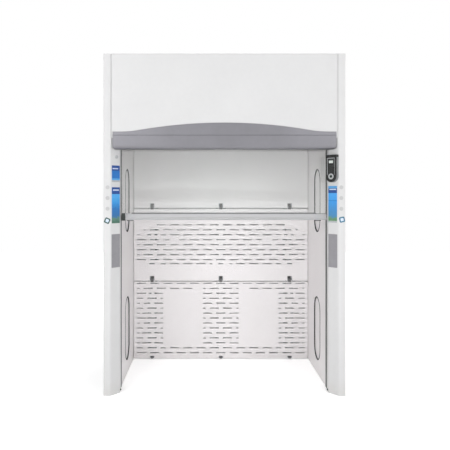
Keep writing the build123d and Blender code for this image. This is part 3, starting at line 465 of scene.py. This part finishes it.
def metallicPaint(name, tone, shade, rough=(0.34, 0.44), depth=0.00005):
    # Grey lacquer with fine flake, which picks up the lamps at both ends of a long face
    sockets = {"Metallic": 0.7, "Specular IOR Level": 0.4, "Coat Weight": 0.1, "Coat Roughness": 0.3}
    finish = Finish(name, sockets)
    skin = finish.group(orangePeel, {"Peel": 1200.0, "Cloud": 3.0})
    finish.set("Base Color", finish.colours(skin["Tone"], shade, tone, low=0.32, high=0.62))
    finish.roughen(skin["Tone"], rough)
    finish.bump(skin["Height"], depth)
    return finish.material


def drawnMetal(name, tone, shade, along, rough, metallic, depth=0.00004):
    finish = Finish(name, {"Metallic": metallic})
    skin = finish.group(drawnLines, {"Along": along})
    finish.set("Base Color", finish.colours(skin["Lines"], shade, tone, low=0.3, high=0.7))
    finish.roughen(skin["Patches"], rough)
    finish.bump(skin["Lines"], depth)
    return finish.material


def galvanisedSheet(name, tone, shade, rough=(0.32, 0.55), depth=0.00008):
    finish = Finish(name, {"Metallic": 0.85})
    skin = finish.group(spangle, {"Size": 55.0})
    finish.set("Base Color", finish.colours(skin["Crystal"], shade, tone))
    finish.roughen(skin["Crystal"], rough, fromLow=0.0, fromHigh=1.0)
    finish.bump(skin["Edge"], depth)
    return finish.material


def softRubber(name, tone, chalk=2.1, rough=(0.6, 0.8), depth=0.0001):
    finish = Finish(name, {"Specular IOR Level": 0.3})
    skin = finish.group(orangePeel, {"Peel": 1500.0, "Cloud": 30.0})
    chalked = tuple(part * chalk for part in tone)
    finish.set("Base Color", finish.colours(skin["Tone"], tone, chalked, low=0.3, high=0.75))
    finish.roughen(skin["Tone"], rough)
    finish.bump(skin["Height"], depth)
    return finish.material


def castIron(name, tone, shade, rough=(0.5, 0.75), depth=0.0006):
    finish = Finish(name, {"Specular IOR Level": 0.4})
    grit = finish.noise(scale=260.0, detail=6.0, rough=0.7)
    finish.set("Base Color", finish.colours(grit, shade, tone, low=0.35, high=0.7))
    finish.roughen(grit, rough)
    finish.bump(grit, depth)
    return finish.material


def sashGlazing(name, tone, shade, shadow, rough=(0.0, 0.02)):
    # Clear pane that lets lamp light through to the chamber
    finish = Finish(name, {"Transmission Weight": 1.0, "IOR": 1.45, "Metallic": 0.0})
    smear = finish.noise(scale=3.5, detail=4.0, rough=0.6)
    finish.set("Base Color", finish.colours(smear, shade, tone, low=0.3, high=0.7))
    finish.roughen(smear, rough)
    clear = finish.nodes.new("ShaderNodeBsdfTransparent")
    clear.inputs["Color"].default_value = (*shadow, 1)
    path = finish.nodes.new("ShaderNodeLightPath")
    mix = finish.nodes.new("ShaderNodeMixShader")
    finish.links.new(path.outputs["Is Shadow Ray"], mix.inputs[0])
    finish.links.new(finish.shader.outputs[0], mix.inputs[1])
    finish.links.new(clear.outputs[0], mix.inputs[2])
    finish.links.new(mix.outputs[0], finish.out.inputs["Surface"])
    return finish.material


def frostedLens(name, tone, shade, rough=(0.3, 0.5), depth=0.0008):
    finish = Finish(name, {"Specular IOR Level": 0.5})
    prism = finish.cells(scale=260.0)
    finish.set("Base Color", finish.colours(prism, shade, tone))
    finish.roughen(prism, rough, fromLow=0.0, fromHigh=1.0)
    finish.bump(prism, depth)
    return finish.material


def pleatedMedia(name, tone, shade, rough=(0.8, 0.95), depth=0.012):
    finish = Finish(name, {"Specular IOR Level": 0.2, "Sheen Weight": 0.2})
    pleatReliefAndShade = finish.bands("X", scale=26.0, profile="TRI")
    fluff = finish.noise(scale=500.0, detail=4.0)
    # Painted shade: the pleat valleys take the darker colour and the crests the lighter one, on top of the
    # bump of the same pleats
    finish.set("Base Color", finish.colours(pleatReliefAndShade, shade, tone))
    finish.roughen(fluff, rough)
    finish.bump(pleatReliefAndShade, depth)
    return finish.material


def strandedWire(name, tone, shade, rough=(0.3, 0.5), depth=0.0004):
    finish = Finish(name, {"Metallic": 1.0})
    lay = finish.bands("DIAGONAL", scale=330.0)
    # Painted shade: the grooves between the strands take the darker colour, on top of the bump of the same
    # lay
    finish.set("Base Color", finish.colours(lay, shade, tone))
    finish.roughen(lay, rough, fromLow=0.0, fromHigh=1.0)
    finish.bump(lay, depth)
    return finish.material


# One finish for each slot of the record: its tone, its shade, and what sets it apart
finishes = {
    "post_white": paintedSheet("postWhite", (0.72, 0.72, 0.723), (0.69, 0.69, 0.694), (0.62, 0.6, 0.57)),
    "panel_white": paintedSheet("panelWhite", (0.8, 0.8, 0.803), (0.765, 0.765, 0.768), (0.58, 0.57, 0.54)),
    "liner_white": paintedSheet(
        "linerWhite", (0.9, 0.875, 0.88), (0.87, 0.845, 0.85), (0.68, 0.655, 0.64),
        rough=(0.3, 0.42), peel=160.0, depth=0.00005,
    ),
    "canopy_grey": metallicPaint("canopyGrey", (0.245, 0.242, 0.264), (0.22, 0.217, 0.236)),
    "track_black": mouldedPlastic(
        "trackBlack", (0.06, 0.066, 0.064), (0.035, 0.04, 0.038), rough=(0.35, 0.5),
    ),
    "gasket_black": softRubber("gasketBlack", (0.03, 0.031, 0.032)),
    "sash_glass": sashGlazing(
        "sashGlass", (0.975, 0.982, 0.98), (0.955, 0.965, 0.96), shadow=(0.95, 0.96, 0.955),
    ),
    "sash_grey": drawnMetal(
        "sashGrey", (0.52, 0.52, 0.53), (0.47, 0.47, 0.48),
        along=(1.0, 60.0, 60.0), rough=(0.32, 0.42), metallic=0.15,
    ),
    "weight_iron": castIron("weightIron", (0.11, 0.112, 0.118), (0.045, 0.047, 0.05)),
    "pulley_black": mouldedPlastic("pulleyBlack", (0.05, 0.05, 0.054), (0.025, 0.025, 0.028)),
    # The second colour of the wire is painted shade for the grooves between the strands
    "wire": strandedWire("wireRope", (0.6, 0.6, 0.6), (0.2, 0.2, 0.21)),
    "galvanised": galvanisedSheet("galvanisedSheet", (0.56, 0.58, 0.6), (0.36, 0.38, 0.4)),
    "clip_grey": mouldedPlastic("clipGrey", (0.16, 0.16, 0.162), (0.11, 0.11, 0.112)),
    "monitor_grey": mouldedPlastic("monitorGrey", (0.29, 0.3, 0.305), (0.25, 0.26, 0.265)),
    "monitor_black": mouldedPlastic(
        "monitorBlack", (0.006, 0.007, 0.007), (0.003, 0.004, 0.004),
        rough=(0.22, 0.32), grain=1400.0, depth=0.00002,
    ),
    "display_pale": mouldedPlastic(
        "displayPale", (0.74, 0.78, 0.76), (0.66, 0.7, 0.68),
        rough=(0.1, 0.18), grain=60.0, depth=0.0, coat=0.5,
    ),
    "button_grey": mouldedPlastic("buttonGrey", (0.5, 0.51, 0.52), (0.44, 0.45, 0.46)),
    "latch_dark": mouldedPlastic(
        "latchDark", (0.018, 0.026, 0.022), (0.009, 0.013, 0.011), rough=(0.28, 0.4),
    ),
    "plate_grey": mouldedPlastic(
        "plateGrey", (0.31, 0.306, 0.325), (0.275, 0.27, 0.288),
        rough=(0.36, 0.46), grain=500.0, depth=0.0001,
    ),
    "plug_white": mouldedPlastic("plugGrey", (0.58, 0.58, 0.585), (0.52, 0.52, 0.525)),
    "lens_frost": frostedLens("lensFrost", (0.95, 0.95, 0.93), (0.86, 0.87, 0.86)),
    # The second colour of the filter media is painted shade for the pleat valleys
    "filter_media": pleatedMedia("filterMedia", (0.78, 0.78, 0.72), (0.42, 0.42, 0.38)),
    "fan_black": mouldedPlastic("fanBlack", (0.04, 0.04, 0.044), (0.02, 0.02, 0.023)),
}


def dressNodes():
    slots = {entry["node"]: entry["material_slot"] for entry in frame["record"]["subparts"]}
    for name, piece in nodes.items():
        finish = finishes[slots[name]]
        if not piece.material_slots:
            piece.data.materials.append(finish)
        for place in piece.material_slots:
            place.material = finish


dressNodes()
print("finishes on the CAD nodes")

# Helpers for new pieces


def keep(work, name, body, finish, place=None, smooth=False):
    # Turn a bmesh into a piece; it rides on the body unless that is None
    if place is not None:
        bmesh.ops.transform(work, matrix=place, verts=work.verts)
    mesh = bpy.data.meshes.new(name)
    work.to_mesh(mesh)
    work.free()
    mesh.materials.append(finish)
    if smooth:
        for face in mesh.polygons:
            face.use_smooth = True
    piece = bpy.data.objects.new(name, mesh)
    scene.collection.objects.link(piece)
    if body:
        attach(piece, body)
    return piece


meshing = {
    "cornerSteps": 5,
    "edgeSteps": 2,
    "profile": 0.5,
    "level": 1e-7,  # corners this near to one height lie on it
    "weld": 1e-6,
}


def plate(width, height, thick, corner=0.0, edge=0.0, middle=(0.0, 0.0)):
    # A flat plate from z = 0 up, with round corners and a soft front edge
    work = bmesh.new()
    bmesh.ops.create_grid(work, x_segments=1, y_segments=1, size=0.5)
    bmesh.ops.scale(work, vec=(width, height, 1), verts=work.verts)
    if corner:
        bmesh.ops.bevel(work, geom=work.verts[:], offset=corner, affect="VERTICES",
                        segments=meshing["cornerSteps"], profile=meshing["profile"], material=-1)
    rise = bmesh.ops.extrude_face_region(work, geom=work.faces[:])
    raised = [v for v in rise["geom"] if isinstance(v, bmesh.types.BMVert)]
    bmesh.ops.translate(work, vec=(0, 0, thick), verts=raised)
    bmesh.ops.recalc_face_normals(work, faces=work.faces)
    if edge:
        level = meshing["level"]
        rim = [e for e in work.edges if all(abs(v.co.z - thick) < level for v in e.verts)]
        bmesh.ops.bevel(work, geom=rim, offset=edge, affect="EDGES",
                        segments=meshing["edgeSteps"], profile=meshing["profile"], material=-1)
    bmesh.ops.translate(work, vec=(middle[0], middle[1], 0), verts=work.verts)
    return work


def turned(profile, steps):
    # A closed round piece from (radius, height) points that start and end on the axis
    work = bmesh.new()
    chain = [work.verts.new((radius, 0, height)) for radius, height in profile]
    edges = [work.edges.new(pair) for pair in zip(chain, chain[1:])]
    bmesh.ops.spin(work, geom=chain + edges, cent=(0, 0, 0), axis=(0, 0, 1), angle=2 * math.pi, steps=steps,
                   use_merge=True, use_duplicate=False)
    bmesh.ops.remove_doubles(work, verts=work.verts, dist=meshing["weld"])
    bmesh.ops.recalc_face_normals(work, faces=work.faces)
    return work


def bar(low, high, roundness):
    # A long bar between two corners, with soft edges
    work = bmesh.new()
    bmesh.ops.create_cube(work, size=1)
    bmesh.ops.scale(work, vec=high - low, verts=work.verts)
    bmesh.ops.translate(work, vec=(low + high) / 2, verts=work.verts)
    bmesh.ops.bevel(work, geom=work.edges[:], offset=roundness, affect="EDGES",
                    segments=meshing["edgeSteps"], profile=meshing["profile"], material=-1)
    return work


def addTo(work, part):
    # Moves the faces of one bmesh into another
    block = bpy.data.meshes.new("part")
    part.to_mesh(block)
    part.free()
    work.from_mesh(block)
    bpy.data.meshes.remove(block)


print("helpers for new pieces ready")

# Cards and markers

vinyl = {"Specular IOR Level": 0.5, "Coat Weight": 0.35, "Coat Roughness": 0.15}
vinylRough = (0.28, 0.4)


def inkFinish(name, tone, shade):
    # Printed vinyl with a fine mottle
    finish = Finish(name, vinyl)
    dots = finish.noise(scale=220.0, detail=3.0)
    finish.set("Base Color", finish.colours(dots, shade, tone, low=0.35, high=0.65))
    finish.roughen(dots, vinylRough)
    return finish.material


def fadeFinish(name, stops, low, high, mottle):
    # Printed vinyl whose colour fades up the card, in broad bands broken by a soft mottle
    finish = Finish(name, vinyl)
    split = finish.nodes.new("ShaderNodeSeparateXYZ")
    finish.links.new(finish.coordinates, split.inputs[0])
    patches = finish.noise(scale=55.0, detail=3.0, rough=0.6)
    shift = finish.spread(patches, -mottle, mottle)
    raised = finish.nodes.new("ShaderNodeMath")
    finish.links.new(split.outputs["Z"], raised.inputs[0])
    finish.links.new(shift, raised.inputs[1])
    ramp = finish.nodes.new("ShaderNodeValToRGB")
    for position, tone in stops[1:-1]:
        ramp.color_ramp.elements.new(position)
    for element, (position, tone) in zip(ramp.color_ramp.elements, stops):
        element.position = position
        element.color = (*tone, 1)
    height = finish.spread(raised.outputs[0], low=0.0, high=1.0, fromLow=low, fromHigh=high)
    finish.links.new(height, ramp.inputs[0])
    finish.set("Base Color", ramp.outputs["Color"])
    finish.roughen(patches, vinylRough)
    return finish.material


inks = {
    "navy": inkFinish("inkNavy", (0.005, 0.075, 0.34), (0.004, 0.045, 0.25)),
    "blue": inkFinish("inkBlue", (0.006, 0.19, 0.58), (0.004, 0.14, 0.5)),
    "light": inkFinish("inkLight", (0.1, 0.4, 0.76), (0.07, 0.33, 0.7)),
    "white": inkFinish("inkWhite", (0.72, 0.8, 0.9), (0.62, 0.72, 0.86)),
    "foot": inkFinish("inkFoot", (0.5, 0.52, 0.54), (0.42, 0.44, 0.46)),
    "teal": inkFinish("inkTeal", (0.03, 0.11, 0.1), (0.015, 0.06, 0.055)),
    "rimBlue": inkFinish("inkRimBlue", (0.05, 0.2, 0.32), (0.03, 0.13, 0.22)),
}

# Cards on the 45 degree faces: a plate, and fields of colour on it. Heights are from the floor,
# and left and right are from the middle of the face.
cards = {
    "cardThickness": 0.0008,
    "fieldThickness": 0.00015,
    "cornerRadius": 0.002,
    "edge": 0.0002,
    "upperLift": 0.0001,  # of a white field over the coloured ones
    "mottle": 0.012,  # how far the bands of a fade wander up and down
    "places": [
        {
            "name": "upperCard", "side": -1, "left": -0.031, "right": 0.042, "bottom": 1.618, "top": 1.744,
            "fields": [
                ("navy", -0.031, 0.042, 1.703, 1.744),
                ("white", -0.024, 0.026, 1.716, 1.724),
                ("blue", -0.031, 0.042, 1.646, 1.703),
                ("light", -0.031, 0.042, 1.632, 1.646),
            ],
        },
        {
            "name": "lowerCard", "side": -1, "left": -0.031, "right": 0.042, "bottom": 1.304, "top": 1.578,
            "fade": [(0.0, (0.045, 0.13, 0.09)), (0.16, (0.1, 0.24, 0.17)), (0.24, (0.02, 0.15, 0.4)),
                     (0.5, (0.012, 0.17, 0.5)), (0.68, (0.03, 0.3, 0.72)), (1.0, (0.09, 0.45, 0.88))],
            "fields": [
                ("navy", -0.031, 0.042, 1.526, 1.578),
                ("white", -0.02, 0.034, 1.552, 1.561),
            ],
        },
        {
            "name": "rightCard", "side": 1, "left": -0.043, "right": 0.031, "bottom": 1.309, "top": 1.588,
            "fade": [(0.0, (0.1, 0.25, 0.12)), (0.14, (0.13, 0.3, 0.15)), (0.2, (0.06, 0.25, 0.48)),
                     (0.42, (0.05, 0.27, 0.6)), (0.72, (0.04, 0.32, 0.78)), (1.0, (0.07, 0.4, 0.88))],
            "fields": [
                ("navy", -0.043, 0.031, 1.534, 1.57),
                ("light", -0.043, 0.031, 1.57, 1.588),
                ("white", -0.034, 0.024, 1.558, 1.566),
                ("blue", -0.043, 0.031, 1.474, 1.478),
                ("foot", -0.043, 0.031, 1.309, 1.322),
            ],
        },
    ],
}


def makeCards():
    for card in cards["places"]:
        width = card["right"] - card["left"]
        height = card["top"] - card["bottom"]
        middle = ((card["left"] + card["right"]) / 2, (card["top"] + card["bottom"]) / 2)
        face = inks["foot"]
        if "fade" in card:
            fadeTop = min(bottom for ink, left, right, bottom, top in card["fields"] if ink == "navy")
            face = fadeFinish(card["name"] + "Print", card["fade"], card["bottom"], fadeTop, cards["mottle"])
        work = plate(width, height, cards["cardThickness"], cards["cornerRadius"], cards["edge"], middle)
        keep(work, card["name"], "cabinet", face, chamferPlace(card["side"], 0, post["skin"]))
        for count, (ink, left, right, bottom, top) in enumerate(card["fields"]):
            middle = ((left + right) / 2, (bottom + top) / 2)
            work = plate(right - left, top - bottom, cards["fieldThickness"], middle=middle)
            lift = post["skin"] + cards["cardThickness"] + (cards["upperLift"] if ink == "white" else 0)
            name = f"{card['name']}Field{count}"
            keep(work, name, "cabinet", inks[ink], chamferPlace(card["side"], 0, lift))


makeCards()

# Small turned square markers on the flat faces, beside the foot of the cards
markers = {
    "size": 0.042,
    "rim": 0.0095,
    "corner": 0.009,
    "edge": 0.0002,
    "thickness": 0.0006,
    # name, x, height, ink, turn in degrees
    "places": [("leftMarker", -0.886, 1.325, "teal", -24), ("rightMarker", 0.889, 1.333, "rimBlue", 12)],
}


def makeMarkers():
    for name, x, height, ink, turn in markers["places"]:
        spin = Matrix.Rotation(math.radians(turn), 4, "Z")
        size = markers["size"]
        outer = plate(size, size, markers["thickness"], markers["corner"], markers["edge"])
        place = flatPlace(x, height, lift=post["skin"]) @ spin
        keep(outer, name, "cabinet", inks[ink], place)
        size -= 2 * markers["rim"]
        inner = plate(size, size, markers["thickness"] / 3, markers["corner"] / 2)
        place = flatPlace(x, height, lift=post["skin"] + markers["thickness"]) @ spin
        keep(inner, name + "Middle", "cabinet", inks["white"], place)


makeMarkers()
print("cards and markers made")

# Monitor face: an outline in relief, a key pad, and the dark middle of its round button
monitorFace = {
    "depth": 0.036,  # how far the black fascia stands off the 45 degree face
    "gap": 0.00005,
    "left": -0.033,
    "right": 0.031,
    "bottom": 1.672,
    "top": 1.8,
    "line": 0.0045,
    "thinLine": 0.0022,
    "thickness": 0.0007,
    "corner": 0.0008,
    "edge": 0.0002,
}
keyPad = {
    "columns": 4,
    "rows": 7,
    "pitch": 0.0085,
    "width": 0.0058,
    "heightShare": 0.62,
    "top": 1.742,
    "thickness": 0.0008,
    "corner": 0.0008,
    "edge": 0.0002,
}
buttonMiddle = {
    "height": 1.66,
    "sink": 0.0003,
    # radius and height of each corner, from the axis at the foot to the axis at the crown
    "profile": [(0, 0), (0.0112, 0), (0.0112, 0.0006), (0.008, 0.0011), (0, 0.0013)],
    "steps": 48,
}


def makeOutline():
    face = monitorFace
    silver = mouldedPlastic("outlineGrey", (0.42, 0.43, 0.44), (0.36, 0.37, 0.38), rough=(0.25, 0.35))
    height = face["top"] - face["bottom"]
    width = face["right"] - face["left"]
    middleX = (face["left"] + face["right"]) / 2
    middleZ = (face["top"] + face["bottom"]) / 2
    bars = [
        ("outlineTop", width, face["line"], (middleX, face["top"] - face["line"] / 2)),
        ("outlineLeft", face["line"], height, (face["left"] + face["line"] / 2, middleZ)),
        ("outlineRight", face["thinLine"], height, (face["right"] - face["thinLine"] / 2, middleZ)),
    ]
    place = chamferPlace(1, 0, face["depth"] + face["gap"])
    for name, barWidth, barHeight, middle in bars:
        work = plate(barWidth, barHeight, face["thickness"], face["corner"], face["edge"], middle)
        keep(work, name, "cabinet", silver, place)


def makeKeyPad():
    keyGrey = mouldedPlastic("keyGrey", (0.045, 0.048, 0.05), (0.03, 0.032, 0.034), rough=(0.3, 0.4))
    width = keyPad["width"]
    height = width * keyPad["heightShare"]
    pad = bmesh.new()
    for row in range(keyPad["rows"]):
        for column in range(keyPad["columns"]):
            x = (column - (keyPad["columns"] - 1) / 2) * keyPad["pitch"]
            z = keyPad["top"] - row * keyPad["pitch"]
            addTo(pad, plate(width, height, keyPad["thickness"], keyPad["corner"], keyPad["edge"], (x, z)))
    place = chamferPlace(1, 0, monitorFace["depth"] + monitorFace["gap"])
    keep(pad, "keyPad", "cabinet", keyGrey, place)


def makeButtonMiddle():
    greenDark = mouldedPlastic("buttonDark", (0.02, 0.035, 0.028), (0.01, 0.018, 0.015), rough=(0.2, 0.3))
    dome = turned(buttonMiddle["profile"], buttonMiddle["steps"])
    place = chamferPlace(1, buttonMiddle["height"], monitorFace["depth"] - buttonMiddle["sink"])
    keep(dome, "buttonMiddle", "monitor_button", greenDark, place, True)


makeOutline()
makeKeyPad()
makeButtonMiddle()
print("monitor face made")

# Rubber glazing strips along the rails
strips = {"height": 0.0058, "depth": 0.003, "lift": 0.012, "inset": 0.075, "round": 0.0012, "gap": 0.00005}


def makeStrips():
    rubber = softRubber("stripGrey", (0.14, 0.14, 0.142))
    for sash in ("front", "rear"):
        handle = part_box(f"{sash}_sash_handle")
        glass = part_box(f"{sash}_sash_glass")
        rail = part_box(f"{sash}_sash_top_rail")
        handleTop = glass[0].z + strips["lift"]
        reach = handle[1].x - strips["inset"]
        low = Vector((-reach, glass[0].y - strips["depth"], handleTop))
        high = Vector((reach, glass[0].y - strips["gap"], handleTop + strips["height"]))
        keep(bar(low, high, strips["round"]), f"{sash}GlazingStrip", f"{sash}_sash", rubber)
        low = Vector((-rail[1].x, glass[0].y - strips["depth"], rail[0].z - strips["height"]))
        high = Vector((rail[1].x, glass[0].y - strips["gap"], rail[0].z))
        keep(bar(low, high, strips["round"]), f"{sash}TopStrip", f"{sash}_sash", rubber)


makeStrips()
print("glazing strips made")

# Rubber stops at the foot of each track
stops = {
    "radius": 0.0065,
    "length": 0.009,
    "height": 0.019,
    "depth": 0.078,
    "shoulder": 0.6,  # share of the length that keeps the full radius, and of the radius at the tip
    "steps": 20,
}


def makeTrackStops():
    inner = halfWidth - post["flat"] - post["chamfer"]
    radius, length, shoulder = stops["radius"], stops["length"], stops["shoulder"]
    profile = [(0, 0), (radius, 0), (radius, length * shoulder), (radius * shoulder, length), (0, length)]
    for side, name in ((-1, "leftTrackStop"), (1, "rightTrackStop")):
        turn = Matrix.Rotation(-side * math.pi / 2, 4, "Y")
        spot = Vector((side * inner, frontY + stops["depth"], stops["height"]))
        place = Matrix.Translation(spot) @ turn
        keep(turned(profile, stops["steps"]), name, "cabinet", finishes["gasket_black"],
             place, True)


makeTrackStops()
print("track stops made")

# Wire ropes: each run stretches between its anchor and the wheel
ropes = {
    "radius": 0.0015,
    "around": 10,
    "ferrule": 0.0032,
    "ferruleLength": 0.016,
    "ferruleShoulder": 0.7,  # share of the length before the ferrule narrows
    "ferruleTip": 1.2,  # radius of its tip over the rope's
    "ferruleSteps": 16,
}


def makeFerrule(name, body, spot):
    length = ropes["ferruleLength"]
    profile = [
        (0, 0), (ropes["ferrule"], 0), (ropes["ferrule"], length * ropes["ferruleShoulder"]),
        (ropes["radius"] * ropes["ferruleTip"], length), (0, length),
    ]
    collar = turned(profile, ropes["ferruleSteps"])
    keep(collar, name, body, finishes["galvanised"], Matrix.Translation(spot), True)


def makeRun(name, low, high):
    # A straight rope that runs between two points
    work = bmesh.new()
    bmesh.ops.create_cone(work, cap_ends=True, segments=ropes["around"], radius1=ropes["radius"],
                          radius2=ropes["radius"], depth=high[2] - low[2])
    bmesh.ops.translate(work, vec=(low[0], low[1], (high[2] + low[2]) / 2), verts=work.verts)
    run = keep(work, name, None, finishes["wire"])
    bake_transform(run)
    return run


def makeRopes():
    pulleyLow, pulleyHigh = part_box("front_right_pulley")
    wheelHeight = (pulleyLow.z + pulleyHigh.z) / 2
    for sash in ("front", "rear"):
        firstRuns = {}
        for side, sideName in ((-1, "left"), (1, "right")):
            for cables, body, label in (
                (f"{sash}_sash_cables", f"{sash}_sash", "Sash"),
                (f"{sash}_weight_cables", f"{sash}_{sideName}_weight", "Weight"),
            ):
                ropeLow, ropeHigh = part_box(cables)
                x = side * (ropeHigh.x - ropes["radius"])
                y = (ropeLow.y + ropeHigh.y) / 2
                name = f"{sash}{sideName.title()}{label}"
                run = makeRun(name + "Rope", (x, y, ropeLow.z), (x, y, wheelHeight))
                firstRuns.setdefault(cables, run)
                makeFerrule(name + "Ferrule", body, (x, y, ropeLow.z))
        for cables, run in firstRuns.items():
            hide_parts(cables)


makeRopes()
print("ropes made")

# Screws round the edge of the rear panel
screws = {
    "radius": 0.0045,
    "height": 0.0014,
    "rim": 0.4,  # share of the height
    "crownRadius": 0.6,
    "recess": 0.9,
    "steps": 14,
    "inset": 0.03,
    "rows": 9,
    "columns": 7,
}


def makeRearScrews():
    low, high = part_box("rear_panel")
    left, right = low.x + screws["inset"], high.x - screws["inset"]
    bottom, top = low.z + screws["inset"], high.z - screws["inset"]
    heights = [bottom + (top - bottom) * row / (screws["rows"] - 1) for row in range(screws["rows"])]
    lastColumn = screws["columns"] - 1
    across = [left + (right - left) * column / lastColumn for column in range(1, lastColumn)]
    places = [(x, z) for x in (left, right) for z in heights]
    places += [(x, z) for x in across for z in (bottom, top)]
    radius, height = screws["radius"], screws["height"]
    profile = [
        (0, 0), (radius, 0), (radius, height * screws["rim"]),
        (radius * screws["crownRadius"], height), (0, height * screws["recess"]),
    ]
    work = bmesh.new()
    for x, z in places:
        head = turned(profile, screws["steps"])
        spot = Matrix.Translation((x, high.y, z)) @ Matrix.Rotation(-math.pi / 2, 4, "X")
        bmesh.ops.transform(head, matrix=spot, verts=head.verts)
        addTo(work, head)
    keep(work, "rearScrews", "cabinet", finishes["galvanised"])


makeRearScrews()
print("rear screws made")
